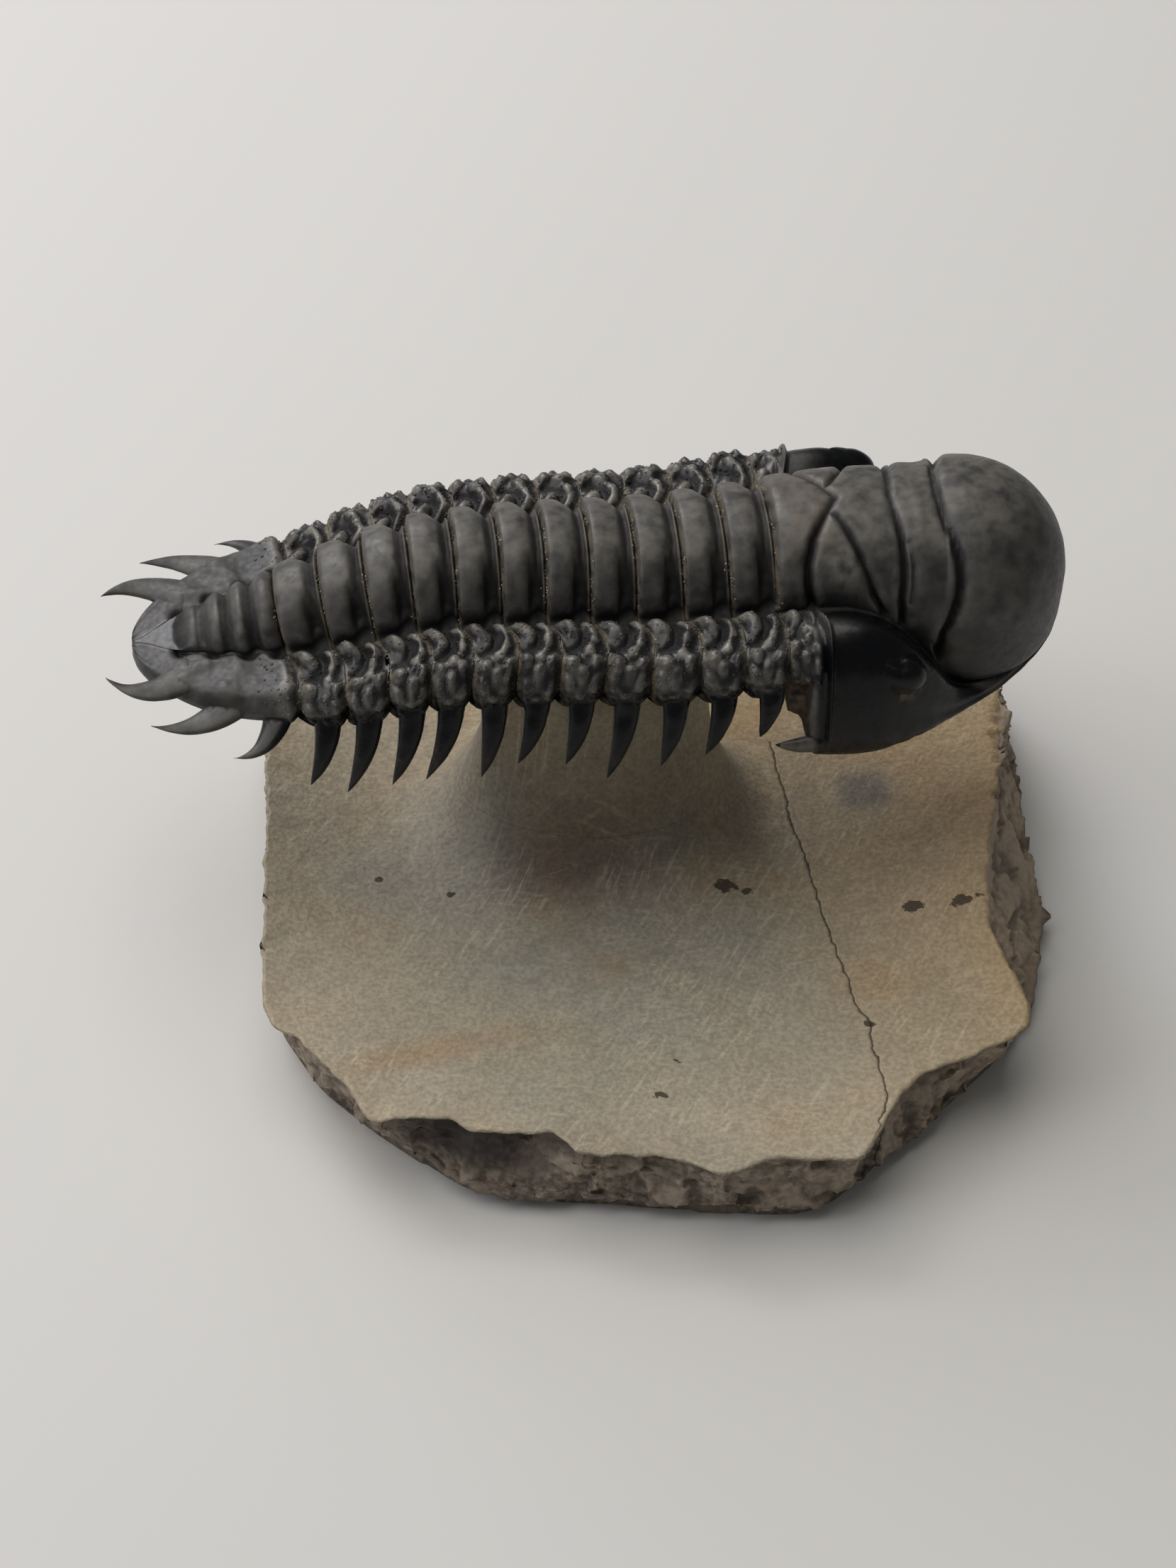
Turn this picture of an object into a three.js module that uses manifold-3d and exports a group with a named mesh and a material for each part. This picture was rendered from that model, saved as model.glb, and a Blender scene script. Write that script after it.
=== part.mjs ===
// A fossil trilobite prepared in the round: black calcite armour on a pillar of limestone matrix.
// Millimetres, +Z up. The head points to +X. The origin is on the underside of the stone,
// below the middle of the animal.

import * as THREE from 'three';
import { mergeVertices } from 'three/addons/utils/BufferGeometryUtils.js';
import Module from 'manifold-3d';

const manifold = await Module();
manifold.setup();

// Driving dimensions of the animal. Stations run from tail to head as [x, value].

const SEGMENT_COUNT = 11;
const FIRST_CREST_X = 11.5;
const CREST_PITCH = 4.21;
const REAR_OF_CREST = 1.4;
const THORAX_FRONT_X = 14.4;

const AXIS_HALF_WIDTH = [
  [-43.6, 0.6], [-41.4, 2.0], [-39, 3.1], [-36, 4.1], [-30.6, 5.1], [-26.9, 5.7], [-18.5, 6.5],
  [-4.7, 6.9], [7.4, 7.3], [18, 8.0], [23, 8.6], [28, 9.4], [33.3, 10.4],
];
const AXIS_RISE = [
  [-43.6, 0.2], [-39, 1.7], [-36, 2.8], [-30.6, 4.3], [-26.9, 4.8], [-18.5, 5.4],
  [3.2, 5.8], [18, 6.1], [23, 7.0], [28, 8.6], [33.3, 10.4],
];
const FURROW_LEVEL = [
  [-44.6, 32.2], [-40, 33.2], [-36, 34.0], [-30.6, 35.4], [-26.9, 36.6], [-22.7, 37.9],
  [-18.5, 38.9], [-9.4, 39.5], [3.2, 39.3], [11.5, 40.0], [17, 40.5], [22, 40.3],
  [28, 38.7], [33.3, 37.3],
];
const BODY_HALF_WIDTH = [
  [-44.6, 1.6], [-43.6, 4.2], [-41.5, 6.6], [-39, 8.6], [-36, 10.4], [-32, 12.0],
  [-26.9, 13.1], [-18.5, 13.8], [-9.4, 14.1], [3.2, 14.8], [14.4, 15.6],
];
const MARGIN_DROP = [[-44.6, 0.9], [-38, 2.0], [-32, 2.3], [-22.7, 2.8], [-9.4, 3.2], [14.4, 2.8]];

const BELLY_Z = 34.8;
const BELLY_BELOW_MARGIN = 0.6;
const RING_FURROW_DEPTH = 1.5;
const PLEURAL_NODE_RISE = 0.95;

const SPINE_LENGTH = 8.2;
const SPINE_SHARES = [0.62, 0.8, 0.9, 1.04, 0.86, 0.84, 1, 0.98, 1, 1, 0.84];
const SPINE_SPLAY = 2.1;
const SPINE_SWEEP = 1.6;
const SPINE_WIDTH = 3.0;
const SPINE_THICKNESS = 1.7;
const SPINE_PLACE = 0.55;
const SPINE_ROOT_INSET = 1.6;
const SPINE_ROOT_RISE = 0.9;
const SPINE_BEND = { forward: 0.3, out: 0.9, down: 0.45 };

const HEAD_HALF_WIDTH = [
  [17, 16.4], [20, 16.3], [25, 15.5], [31, 13.0], [37.4, 9.3], [41.2, 6.2], [43, 3.6], [43.6, 1.2],
];
const HEAD_UNDERSIDE_Z = [[17, 28.9], [31, 29.2], [37.4, 29.8], [41.2, 30.6], [43.6, 32.2]];
const CHEEK_SHELF_Z = [
  [17, 40.7], [22, 41.0], [25.8, 39.3], [29.2, 36.3], [32, 33.6], [35.5, 32.2], [43.6, 33.6],
];
const LOBE_X = 33.3;
const LOBE_Z = 37.3;
const LOBE_RADIUS = 10.4;
const LOBE_KEEL_DEPTH = 7.9;

// Driving dimensions of the stone.

const STONE_CENTRE = { x: 0, y: -1 };
const PILLAR_HALF_LENGTH = { tail: 12.4, head: 11.6 };
const PILLAR_HALF_DEPTH = { front: 7.4, back: 8.0 };
const RIM_Z = 9.6;
const DISH_Z = 7.2;

// Corners of the smooth upper surface and of the rough slab below it, from the tail end round
// the front. The back is the plainer side.
const RIM_CORNERS = [
  [-31.9, 13], [-32.5, 6], [-32.7, -5], [-34.2, -22], [-35, -28], [-28.2, -38.8],
  [-17, -42.3], [-8.5, -43.4], [5.5, -50.2], [18.9, -49.4], [26.8, -40], [38.6, -33.2],
  [36.2, -21.4], [38.4, -10.5], [43.6, 6.6], [43.4, 16], [37, 22.5], [26, 24.8],
  [4, 23.5], [-15, 24.8], [-27.5, 21],
];
const SLAB_CORNERS = [
  [-33.2, 13.5], [-33.6, 4], [-34.7, -23], [-31, -31], [-23, -40.2], [-17.6, -45], [2.4, -48.9],
  [15.5, -50.6], [26.3, -42.6], [32.8, -37], [40.6, -28], [44.9, -13.7], [45.3, -4],
  [46.6, 8.6], [46, 17.5], [39.5, 24.5], [28, 27], [5, 25.6], [-15.5, 26.9], [-29, 22.6],
];
const SLAB_FOOT_INSET = 2.2;

const DEGREE = Math.PI / 180;

// Smooth curve through [x, value] stations, level beyond both ends.
function through(stations) {
  const last = stations.length - 1;
  const slopeAt = (i) => {
    const before = stations[Math.max(i - 1, 0)];
    const after = stations[Math.min(i + 1, last)];
    return (after[1] - before[1]) / (after[0] - before[0]);
  };
  return (x) => {
    if (x <= stations[0][0]) return stations[0][1];
    if (x >= stations[last][0]) return stations[last][1];
    const i = stations.findIndex((station) => station[0] > x) - 1;
    const [x0, v0] = stations[i];
    const [x1, v1] = stations[i + 1];
    const span = x1 - x0;
    const t = (x - x0) / span;
    const ease = t * t * (3 - 2 * t);
    const swing = slopeAt(i) * t * (1 - t) ** 2 - slopeAt(i + 1) * t * t * (1 - t);
    return v0 + (v1 - v0) * ease + span * swing;
  };
}

const axisHalfWidth = through(AXIS_HALF_WIDTH);
const axisRise = through(AXIS_RISE);
const furrowLevel = through(FURROW_LEVEL);
const bodyHalfWidth = through(BODY_HALF_WIDTH);
const marginDrop = through(MARGIN_DROP);
const headHalfWidth = through(HEAD_HALF_WIDTH);
const headUndersideZ = through(HEAD_UNDERSIDE_Z);
const cheekShelfZ = through(CHEEK_SHELF_Z);

const bump = (x, centre, width) => Math.exp(-(((x - centre) / width) ** 2));

// Walls between neighbouring loops of points.
function wallTriangles(loops) {
  const count = loops[0].length;
  const triangles = [];
  for (let ring = 0; ring + 1 < loops.length; ring += 1) {
    for (let i = 0; i < count; i += 1) {
      const a = ring * count + i;
      const b = ring * count + ((i + 1) % count);
      triangles.push([a, b, b + count], [a, b + count, a + count]);
    }
  }
  return triangles;
}

// Closed solid from arrays of points, each array one closed loop, with flat caps on both ends.
function loft(loops, capAxes = ['y', 'z']) {
  const triangles = wallTriangles(loops);
  const [across, up] = capAxes;
  const outline = (loop) => loop.map((point) => new THREE.Vector2(point[across], point[up]));
  const firstCap = THREE.ShapeUtils.triangulateShape(outline(loops[0]), []);
  const lastCap = THREE.ShapeUtils.triangulateShape(outline(loops.at(-1)), []);
  const start = (loops.length - 1) * loops[0].length;
  const windsForward = THREE.ShapeUtils.area(outline(loops[0])) > 0;
  const lastForward = THREE.ShapeUtils.area(outline(loops.at(-1))) > 0;
  for (const [a, b, c] of firstCap) {
    triangles.push(windsForward === sameWay(loops[0], [a, b, c], capAxes) ? [c, b, a] : [a, b, c]);
  }
  for (const [a, b, c] of lastCap) {
    const keep = lastForward === sameWay(loops.at(-1), [a, b, c], capAxes);
    triangles.push(keep ? [start + a, start + b, start + c] : [start + c, start + b, start + a]);
  }
  return solidFrom(loops, triangles);
}

// True when a cap's triangle turns counterclockwise on the cap's own axes.
function sameWay(loop, [a, b, c], [across, up]) {
  const corners = [loop[a], loop[b], loop[c]].map((p) => new THREE.Vector2(p[across], p[up]));
  return THREE.ShapeUtils.area(corners) > 0;
}

// A manifold solid, turned so that its faces point outwards.
function solidFrom(loops, triangles) {
  const points = loops.flat();
  let volume = 0;
  for (const [a, b, c] of triangles) {
    volume += points[a].dot(points[b].clone().cross(points[c]));
  }
  const facing = volume > 0 ? triangles : triangles.map(([a, b, c]) => [a, c, b]);
  const geometry = new THREE.BufferGeometry().setFromPoints(points);
  geometry.setIndex(facing.flat());
  return toManifold(geometry);
}

function toManifold(geometry) {
  const bare = geometry.clone();
  bare.deleteAttribute('normal');
  bare.deleteAttribute('uv');
  const merged = mergeVertices(bare, 1e-4);
  return new manifold.Manifold(new manifold.Mesh({
    numProp: 3,
    vertProperties: new Float32Array(merged.attributes.position.array),
    triVerts: new Uint32Array(merged.index.array),
  }));
}

function toGeometry(solid) {
  const mesh = solid.getMesh();
  const geometry = new THREE.BufferGeometry();
  geometry.setAttribute('position', new THREE.Float32BufferAttribute(mesh.vertProperties, 3));
  geometry.setIndex([...mesh.triVerts]);
  geometry.computeVertexNormals();
  return geometry;
}

// Both halves of a section: the given half runs from the middle of the back down to the belly.
function mirrored(x, half) {
  const far = half.map(([y, z]) => new THREE.Vector3(x, y, z));
  const near = half.slice(1).reverse().map(([y, z]) => new THREE.Vector3(x, -y, z));
  return [...far, ...near];
}

// How far a section leans forward below its crest where the body droops. The last sections of
// the tail shield stand upright.
const LEAN_SPAN = 3;
const LEAN_FADE = [[-44.6, 0], [-36, 0.6], [-31, 0.95], [-27, 0.65], [-20, 0.55]];
const leanFade = through(LEAN_FADE);

function lean(x) {
  const ahead = Math.min(x + LEAN_SPAN, THORAX_FRONT_X);
  const climb = (furrowLevel(ahead) - furrowLevel(x - LEAN_SPAN)) / (ahead - x + LEAN_SPAN);
  return climb * leanFade(x);
}

// Section through the thorax or tail at x. The ring stands ringDrop lower than its crest, and
// the knobs on the side lobe stand knobRise above it.
const RING_ANGLES = [0, 26, 50, 70, 85];

// The side lobe from the furrow beside the ring out to the margin: how far out as a share of
// the lobe, how high above the furrow, and what share it takes of the margin's drop and of
// the knobs' rise.
const LOBE_PROFILE = [
  { out: 0.05, up: -0.45, drop: 0, knob: 0 },
  { out: 0.3, up: -0.1, drop: 0, knob: 1 },
  { out: 0.54, up: -0.05, drop: 0, knob: 0.35 },
  { out: 0.8, up: 0.1, drop: 0.06, knob: 0.75 },
  { out: 0.95, up: 0, drop: 0.55, knob: 0.3 },
  { out: 1, up: 0, drop: 0.9, knob: 0 },
];

// The rounded edge under the margin, as shares of the lobe inside it.
const EDGE_INSET = 0.1;
const EDGE_DEPTH = 0.4;
const EDGE_ABOVE_BELLY = 0.12;
const BELLY_INSET = 0.35;

// Lowest ring and narrowest side lobe, kept where the body runs out at the tail.
const LEAST_RISE = 0.15;
const LEAST_LOBE = 0.6;
const RING_NARROWING = 0.2;

function bodySection(x, ringDrop, knobRise, marginInset) {
  const half = axisHalfWidth(x);
  const rise = Math.max(axisRise(x) - ringDrop, LEAST_RISE);
  const furrow = furrowLevel(x);
  const margin = Math.max(bodyHalfWidth(x) - marginInset, half + LEAST_LOBE);
  const drop = marginDrop(x);
  const belly = Math.min(BELLY_Z, furrow - drop - BELLY_BELOW_MARGIN);
  const lobe = margin - half;
  const narrow = half - RING_NARROWING * ringDrop;
  const points = RING_ANGLES.map((angle) => [
    narrow * Math.sin(angle * DEGREE),
    furrow + rise * Math.cos(angle * DEGREE),
  ]);
  for (const row of LOBE_PROFILE) {
    points.push([half + row.out * lobe, furrow + row.up - row.drop * drop + row.knob * knobRise]);
  }
  const edge = Math.max(furrow - drop - EDGE_DEPTH, belly + EDGE_ABOVE_BELLY);
  points.push([margin - EDGE_INSET * lobe, edge]);
  points.push([margin - BELLY_INSET * lobe, belly]);
  const crest = furrow + axisRise(x);
  return mirrored(x, points).map((point) => {
    point.x += lean(x) * (crest - point.z);
    return point;
  });
}

// Curved horn that tapers along a bend from root to tip. Its width lies along the line given
// as wide, and its sides come together in a blunt point.
const HORN_STEPS = 4;
const HORN_SIDES = 5;
const HORN_TIP_SHARE = 0.07;

function horn(root, bend, tip, width, thickness, wide) {
  const path = new THREE.QuadraticBezierCurve3(root, bend, tip);
  const loops = [];
  for (let step = 0; step <= HORN_STEPS; step += 1) {
    const t = step / HORN_STEPS;
    const centre = path.getPoint(t);
    const along = path.getTangent(t);
    const thin = new THREE.Vector3().crossVectors(along, wide).normalize();
    const broad = new THREE.Vector3().crossVectors(thin, along).normalize();
    const taper = Math.max((1 - t ** 1.7) ** 0.8, HORN_TIP_SHARE);
    const loop = [];
    for (let side = 0; side < HORN_SIDES; side += 1) {
      const angle = (side / HORN_SIDES) * 2 * Math.PI;
      loop.push(centre.clone()
        .addScaledVector(broad, 0.5 * width * taper * Math.cos(angle))
        .addScaledVector(thin, 0.5 * thickness * taper * Math.sin(angle)));
    }
    loops.push(loop);
  }
  return closeHorn(loops);
}

// Closes a horn with fans, because its end loops don't lie in the planes of the axes.
function closeHorn(loops) {
  const triangles = wallTriangles(loops);
  const end = (loops.length - 1) * HORN_SIDES;
  for (let i = 1; i + 1 < HORN_SIDES; i += 1) {
    triangles.push([0, i + 1, i], [end, end + i, end + i + 1]);
  }
  return solidFrom(loops, triangles);
}

// The same piece on both sides of the animal, and a point given for one side.
const onBothSides = (build) => build(1).add(build(-1));
const onSide = ([x, y, z], side) => new THREE.Vector3(x, side * y, z);

// Slices of one segment from its rear edge to its front edge: the steep rear of the ring,
// its crest, the furrow ahead of it and the low half ring that slides under the next ring.
const SEGMENT_SLICES = [
  { at: 0, ringDrop: RING_FURROW_DEPTH, knob: -0.25, inset: 0.9 },
  { at: 0.1, ringDrop: 0.25, knob: 0.25, inset: 0.35 },
  { at: 0.36, ringDrop: 0, knob: 1, inset: 0 },
  { at: 0.58, ringDrop: 0.3, knob: 0.1, inset: 0 },
  { at: 0.76, ringDrop: 1.25, knob: 0.9, inset: 0.2 },
  { at: 1, ringDrop: RING_FURROW_DEPTH, knob: -0.25, inset: 0.9 },
];

const crestX = (index) => FIRST_CREST_X - CREST_PITCH * index;

// Rear edge of a segment, shared with the front edge of the one behind it.
const rearX = (index) => crestX(index) - REAR_OF_CREST;

function thoracicSegment(index) {
  const rear = rearX(index);
  const front = index === 0 ? THORAX_FRONT_X : rearX(index - 1);
  const sections = SEGMENT_SLICES.map(({ at, ringDrop, knob, inset }) => bodySection(
    rear + (front - rear) * at,
    ringDrop,
    knob * PLEURAL_NODE_RISE,
    inset,
  ));
  const middle = rear + SPINE_PLACE * (front - rear);
  const rootZ = furrowLevel(middle) - marginDrop(middle);
  const rootX = middle + lean(middle) * (axisRise(middle) + marginDrop(middle));
  const margin = bodyHalfWidth(middle);
  const share = SPINE_SHARES[index];
  const length = SPINE_LENGTH * share;
  const spines = onBothSides((side) => horn(
    new THREE.Vector3(rootX, side * (margin - SPINE_ROOT_INSET), rootZ + SPINE_ROOT_RISE),
    new THREE.Vector3(
      rootX + SPINE_BEND.forward,
      side * (margin + SPINE_BEND.out),
      rootZ - SPINE_BEND.down * length,
    ),
    new THREE.Vector3(
      rootX - SPINE_SWEEP,
      side * (margin + SPINE_SPLAY * share),
      rootZ - length,
    ),
    SPINE_WIDTH,
    SPINE_THICKNESS,
    new THREE.Vector3(1, 0, 0),
  ));
  return loft(sections).add(spines);
}

// The tail shield: a tapering axis of four rings on a plate with three pairs of spines.
const TAIL_SLICES = [
  { x: -33.2, ringDrop: 0.1, knob: 0.7 },
  { x: -34.3, ringDrop: 0.9, knob: 0.1 },
  { x: -35.4, ringDrop: 0.1, knob: 0.45 },
  { x: -36.5, ringDrop: 0.8, knob: 0.05 },
  { x: -37.6, ringDrop: 0.1, knob: 0.2 },
  { x: -38.7, ringDrop: 0.7, knob: 0 },
  { x: -39.8, ringDrop: 0.1, knob: 0 },
  { x: -41.2, ringDrop: 0.5, knob: 0 },
  { x: -42.7, ringDrop: 0.2, knob: 0 },
  { x: -43.9, ringDrop: 0.1, knob: 0 },
  { x: -44.6, ringDrop: 0.1, knob: 0 },
];
const TAIL_SPINES = [
  { root: [-33.6, 9.9, 33.1], bend: [-33.4, 14.6, 31.2], tip: [-36.6, 14.3, 30.8], width: 4.6 },
  { root: [-36.2, 8.2, 32.6], bend: [-40.0, 12.4, 29.8], tip: [-43.9, 11.3, 32.3], width: 4.8 },
  { root: [-40.2, 4.6, 32.4], bend: [-44.0, 7.1, 31.0], tip: [-47.8, 5.4, 33.4], width: 3.6 },
];
const TAIL_SPINE_THICKNESS = 2.0;

function pygidium() {
  const last = SEGMENT_SLICES.at(-1);
  const joint = bodySection(
    rearX(SEGMENT_COUNT - 1),
    last.ringDrop,
    last.knob * PLEURAL_NODE_RISE,
    last.inset,
  );
  const sections = TAIL_SLICES.map(({ x, ringDrop, knob }) => bodySection(
    x,
    ringDrop,
    knob * PLEURAL_NODE_RISE,
    0,
  ));
  let solid = loft([joint, ...sections]);
  for (const { root, bend, tip, width } of TAIL_SPINES) {
    solid = solid.add(onBothSides((side) => horn(
      onSide(root, side),
      onSide(bend, side),
      onSide(tip, side),
      width,
      TAIL_SPINE_THICKNESS,
      new THREE.Vector3(0.3, -side, 0),
    )));
  }
  return solid;
}

// Depth of the furrows that part the glabella into lobes, at x and at an angle from the top.
const FIRST_FURROW = [[0, 20.2], [35, 21.5], [55, 22.5], [90, 24.2]];
const SECOND_FURROW_X = 26.2;
const THIRD_FURROW = [[0, 30.4], [25, 30.5], [50, 31.3], [75, 30.9], [90, 30.4]];
const firstFurrowX = through(FIRST_FURROW);
const thirdFurrowX = through(THIRD_FURROW);
const GLABELLAR_FURROW_DEPTH = 0.75;
const GLABELLAR_FURROW_WIDTH = 0.75;

function glabellaCut(x, angle) {
  const away = Math.min(Math.abs(angle) / DEGREE, 90);
  const lines = [firstFurrowX(away), SECOND_FURROW_X, thirdFurrowX(away)];
  const cut = Math.max(...lines.map((line) => bump(x, line, GLABELLAR_FURROW_WIDTH)));
  return GLABELLAR_FURROW_DEPTH * cut;
}

const GLABELLA_X = [
  18.4, 19.6, 20.8, 22.2, 23.7, 25.1, 26.2, 27.3, 28.9, 30.1, 30.9, 31.9, 33.3, 35.6, 37.8,
  39.7, 41.4, 42.7, 43.5,
];
const GLABELLA_SIDES = 22;
const KEEL_ABOVE_UNDERSIDE = 0.6;

function glabella() {
  const loops = GLABELLA_X.map((x) => {
    const inLobe = x > LOBE_X;
    const shrink = inLobe ? Math.sqrt(1 - ((x - LOBE_X) / LOBE_RADIUS) ** 2) : 1;
    const level = inLobe ? LOBE_Z : furrowLevel(x);
    const keel = inLobe ? LOBE_KEEL_DEPTH : level - headUndersideZ(x) - KEEL_ABOVE_UNDERSIDE;
    const loop = [];
    for (let side = 0; side < GLABELLA_SIDES; side += 1) {
      const angle = (side / GLABELLA_SIDES) * 2 * Math.PI;
      const folded = angle > Math.PI ? 2 * Math.PI - angle : angle;
      const cut = inLobe ? 0 : glabellaCut(x, folded);
      const up = Math.cos(angle);
      const height = up > 0 ? axisRise(x) - cut : keel - cut;
      loop.push(new THREE.Vector3(
        x,
        (axisHalfWidth(x) - cut) * shrink * Math.sin(angle),
        level + height * shrink * up,
      ));
    }
    return loop;
  });
  return loft(loops);
}

// The cheeks and the border that runs round the head under the frontal lobe.
const CHEEK_X = [17.0, 17.5, 18.3, 19.3, 20.6, 23, 25.5, 28, 30.5, 33, 36, 39, 41.2, 42.7, 43.6];
const CHEEK_INNER = { beyondAxis: 0.4, mostOfMargin: 0.8 };
const REAR_BORDER = { x: 18.0, rise: 0.7, width: 0.8 };
const REAR_FURROW = { x: 19.5, depth: 0.55, width: 0.7 };
const CHEEK_LIP = 0.35;

function cheekSection(x) {
  const margin = headHalfWidth(x);
  const shelf = cheekShelfZ(x);
  const underside = headUndersideZ(x);
  const inner = Math.min(
    axisHalfWidth(x) + CHEEK_INNER.beyondAxis,
    CHEEK_INNER.mostOfMargin * margin,
  );
  const rearRidge = REAR_BORDER.rise * bump(x, REAR_BORDER.x, REAR_BORDER.width)
    - REAR_FURROW.depth * bump(x, REAR_FURROW.x, REAR_FURROW.width);
  const across = margin - inner;
  const drop = shelf - underside;
  return mirrored(x, [
    [0, shelf - 1],
    [inner, shelf - 0.5 + rearRidge],
    [inner + 0.42 * across, shelf + 0.03 * drop + rearRidge],
    [inner + 0.72 * across, shelf - 0.16 * drop + 0.8 * rearRidge],
    [inner + 0.88 * across, underside + 0.56 * drop],
    [margin - CHEEK_LIP, underside + 0.34 * drop],
    [margin, underside + 0.1 * drop],
    [margin - CHEEK_LIP, underside],
    [0.5 * margin, underside],
  ]);
}

// The occipital ring and the strip ahead of the thorax, which share their rear face with it.
const NECK_SLICES = [
  { x: 14.4, ringDrop: RING_FURROW_DEPTH, knob: -0.25, inset: 0.9 },
  { x: 14.9, ringDrop: 0.2, knob: -0.2, inset: 0.9 },
  { x: 16.2, ringDrop: -0.1, knob: -0.2, inset: 0.9 },
  { x: 18.2, ringDrop: 0.2, knob: -0.2, inset: 0.9 },
  { x: 19.6, ringDrop: 0.9, knob: -0.5, inset: 1.2 },
];

const EYE = { x: 25.6, y: 13.2, z: 36.6, length: 5.2, width: 3.4, height: 3.6 };
const GENAL_SPINE = {
  root: [19, 15.5, 30.3],
  bend: [17, 16.0, 30.1],
  tip: [14.2, 16.2, 30.5],
  width: 2.2,
  thickness: 1.5,
};

function eye(side) {
  const lump = new THREE.SphereGeometry(0.5, 9, 6);
  lump.scale(EYE.length, EYE.width, EYE.height);
  lump.translate(EYE.x, side * EYE.y, EYE.z);
  return toManifold(lump);
}

function genalSpine(side) {
  return horn(
    onSide(GENAL_SPINE.root, side),
    onSide(GENAL_SPINE.bend, side),
    onSide(GENAL_SPINE.tip, side),
    GENAL_SPINE.width,
    GENAL_SPINE.thickness,
    new THREE.Vector3(0, 0, 1),
  );
}

function cephalon() {
  const neck = loft(NECK_SLICES.map(({ x, ringDrop, knob, inset }) => bodySection(
    x,
    ringDrop,
    knob * PLEURAL_NODE_RISE,
    inset,
  )));
  return loft(CHEEK_X.map(cheekSection))
    .add(neck)
    .add(glabella())
    .add(onBothSides(eye))
    .add(onBothSides(genalSpine));
}

// The stone: loops of points round the pillar, from its top down to the dished slab,
// over the broken rim and in under the slab.
const STONE_SIDES = 56;

// Distance from the middle of the stone to an outline along a bearing.
function reachTo(corners, bearing) {
  const direction = new THREE.Vector2(Math.cos(bearing), Math.sin(bearing));
  const middle = new THREE.Vector2(STONE_CENTRE.x, STONE_CENTRE.y);
  const points = corners.map(([x, y]) => new THREE.Vector2(x, y).sub(middle));
  const reaches = points.map((from, i) => {
    const edge = points[(i + 1) % points.length].clone().sub(from);
    const turn = direction.cross(edge);
    const share = from.cross(direction) / turn;
    const reach = from.cross(edge) / turn;
    return share >= 0 && share <= 1 && reach > 0 ? reach : Infinity;
  });
  return Math.min(...reaches);
}

// Scoops that broke out of the front edge, as a share of their full depth.
const SCOOP_BEARINGS = [236, 252, 271, 296];
const SCOOP_HALF_ANGLE = 8;
const SCOOP = { lowersRim: 1.1, setsBackRim: 0.6, setsBackFace: 0.8 };
const RIM_WAVE = 0.4;

function scoop(bearing) {
  const degrees = bearing / DEGREE;
  const depths = SCOOP_BEARINGS.map((middle) => 1 - ((degrees - middle) / SCOOP_HALF_ANGLE) ** 2);
  return Math.max(0, ...depths);
}

function rimZ(bearing) {
  return RIM_Z + RIM_WAVE * Math.cos(2 * bearing) - SCOOP.lowersRim * scoop(bearing);
}

function pillarReach(bearing) {
  const cos = Math.cos(bearing);
  const sin = Math.sin(bearing);
  const along = cos < 0 ? PILLAR_HALF_LENGTH.tail : PILLAR_HALF_LENGTH.head;
  const across = sin < 0 ? PILLAR_HALF_DEPTH.front : PILLAR_HALF_DEPTH.back;
  return 1 / Math.hypot(cos / along, sin / across);
}

const PILLAR_LEVELS = [
  { z: BELLY_Z, swell: 0 },
  { z: 28, swell: -1.2 },
  { z: 20, swell: -1.0 },
  { z: 13.5, swell: 0.9 },
  { z: 9.8, swell: 3.2 },
  { z: 8.0, swell: 5.8 },
];
const DISH_SHARES = [0.3, 0.6, 0.84];

// The broken face below the rim: its height as a share of the rim's, how far it stands inside
// the slab and how far outside the rim at least. Then the slab's widest level.
const FACE = { level: 0.62, insideSlab: 0.9, outsideRim: 0.4 };
const SLAB_Z = 2.4;

function stoneLoop(reachAt, heightAt) {
  const loop = [];
  for (let side = 0; side < STONE_SIDES; side += 1) {
    const bearing = (side / STONE_SIDES) * 2 * Math.PI;
    const reach = reachAt(bearing);
    loop.push(new THREE.Vector3(
      STONE_CENTRE.x + reach * Math.cos(bearing),
      STONE_CENTRE.y + reach * Math.sin(bearing),
      heightAt(bearing),
    ));
  }
  return loop;
}

function matrixPedestal() {
  const foot = (bearing) => pillarReach(bearing) + PILLAR_LEVELS.at(-1).swell;
  const rim = (bearing) => reachTo(RIM_CORNERS, bearing) - SCOOP.setsBackRim * scoop(bearing);
  const slab = (bearing) => reachTo(SLAB_CORNERS, bearing);
  const face = (bearing) => {
    const reach = Math.max(slab(bearing) - FACE.insideSlab, rim(bearing) + FACE.outsideRim);
    return reach - SCOOP.setsBackFace * scoop(bearing);
  };
  const loops = PILLAR_LEVELS.map(({ z, swell }) => stoneLoop(
    (bearing) => pillarReach(bearing) + swell,
    () => z,
  ));
  for (const share of DISH_SHARES) {
    loops.push(stoneLoop(
      (bearing) => foot(bearing) + share * (rim(bearing) - foot(bearing)),
      (bearing) => DISH_Z + (rimZ(bearing) - DISH_Z) * share ** 2,
    ));
  }
  loops.push(stoneLoop(rim, rimZ));
  loops.push(stoneLoop(face, (bearing) => FACE.level * rimZ(bearing)));
  loops.push(stoneLoop(slab, () => SLAB_Z));
  loops.push(stoneLoop((bearing) => slab(bearing) - SLAB_FOOT_INSET, () => 0));
  return loft(loops, ['x', 'y']);
}

// Finishes: black calcite, a little glossier on the side lobes, and brownish grey limestone.
const calcite = (roughness) => new THREE.MeshStandardMaterial({
  color: 0x2e2d2d,
  roughness,
  metalness: 0,
});
const limestone = new THREE.MeshStandardMaterial({ color: 0x8f8470, roughness: 0.9, metalness: 0 });

function named(name, solid, material) {
  const mesh = new THREE.Mesh(toGeometry(solid), material);
  mesh.name = name;
  return mesh;
}

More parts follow.
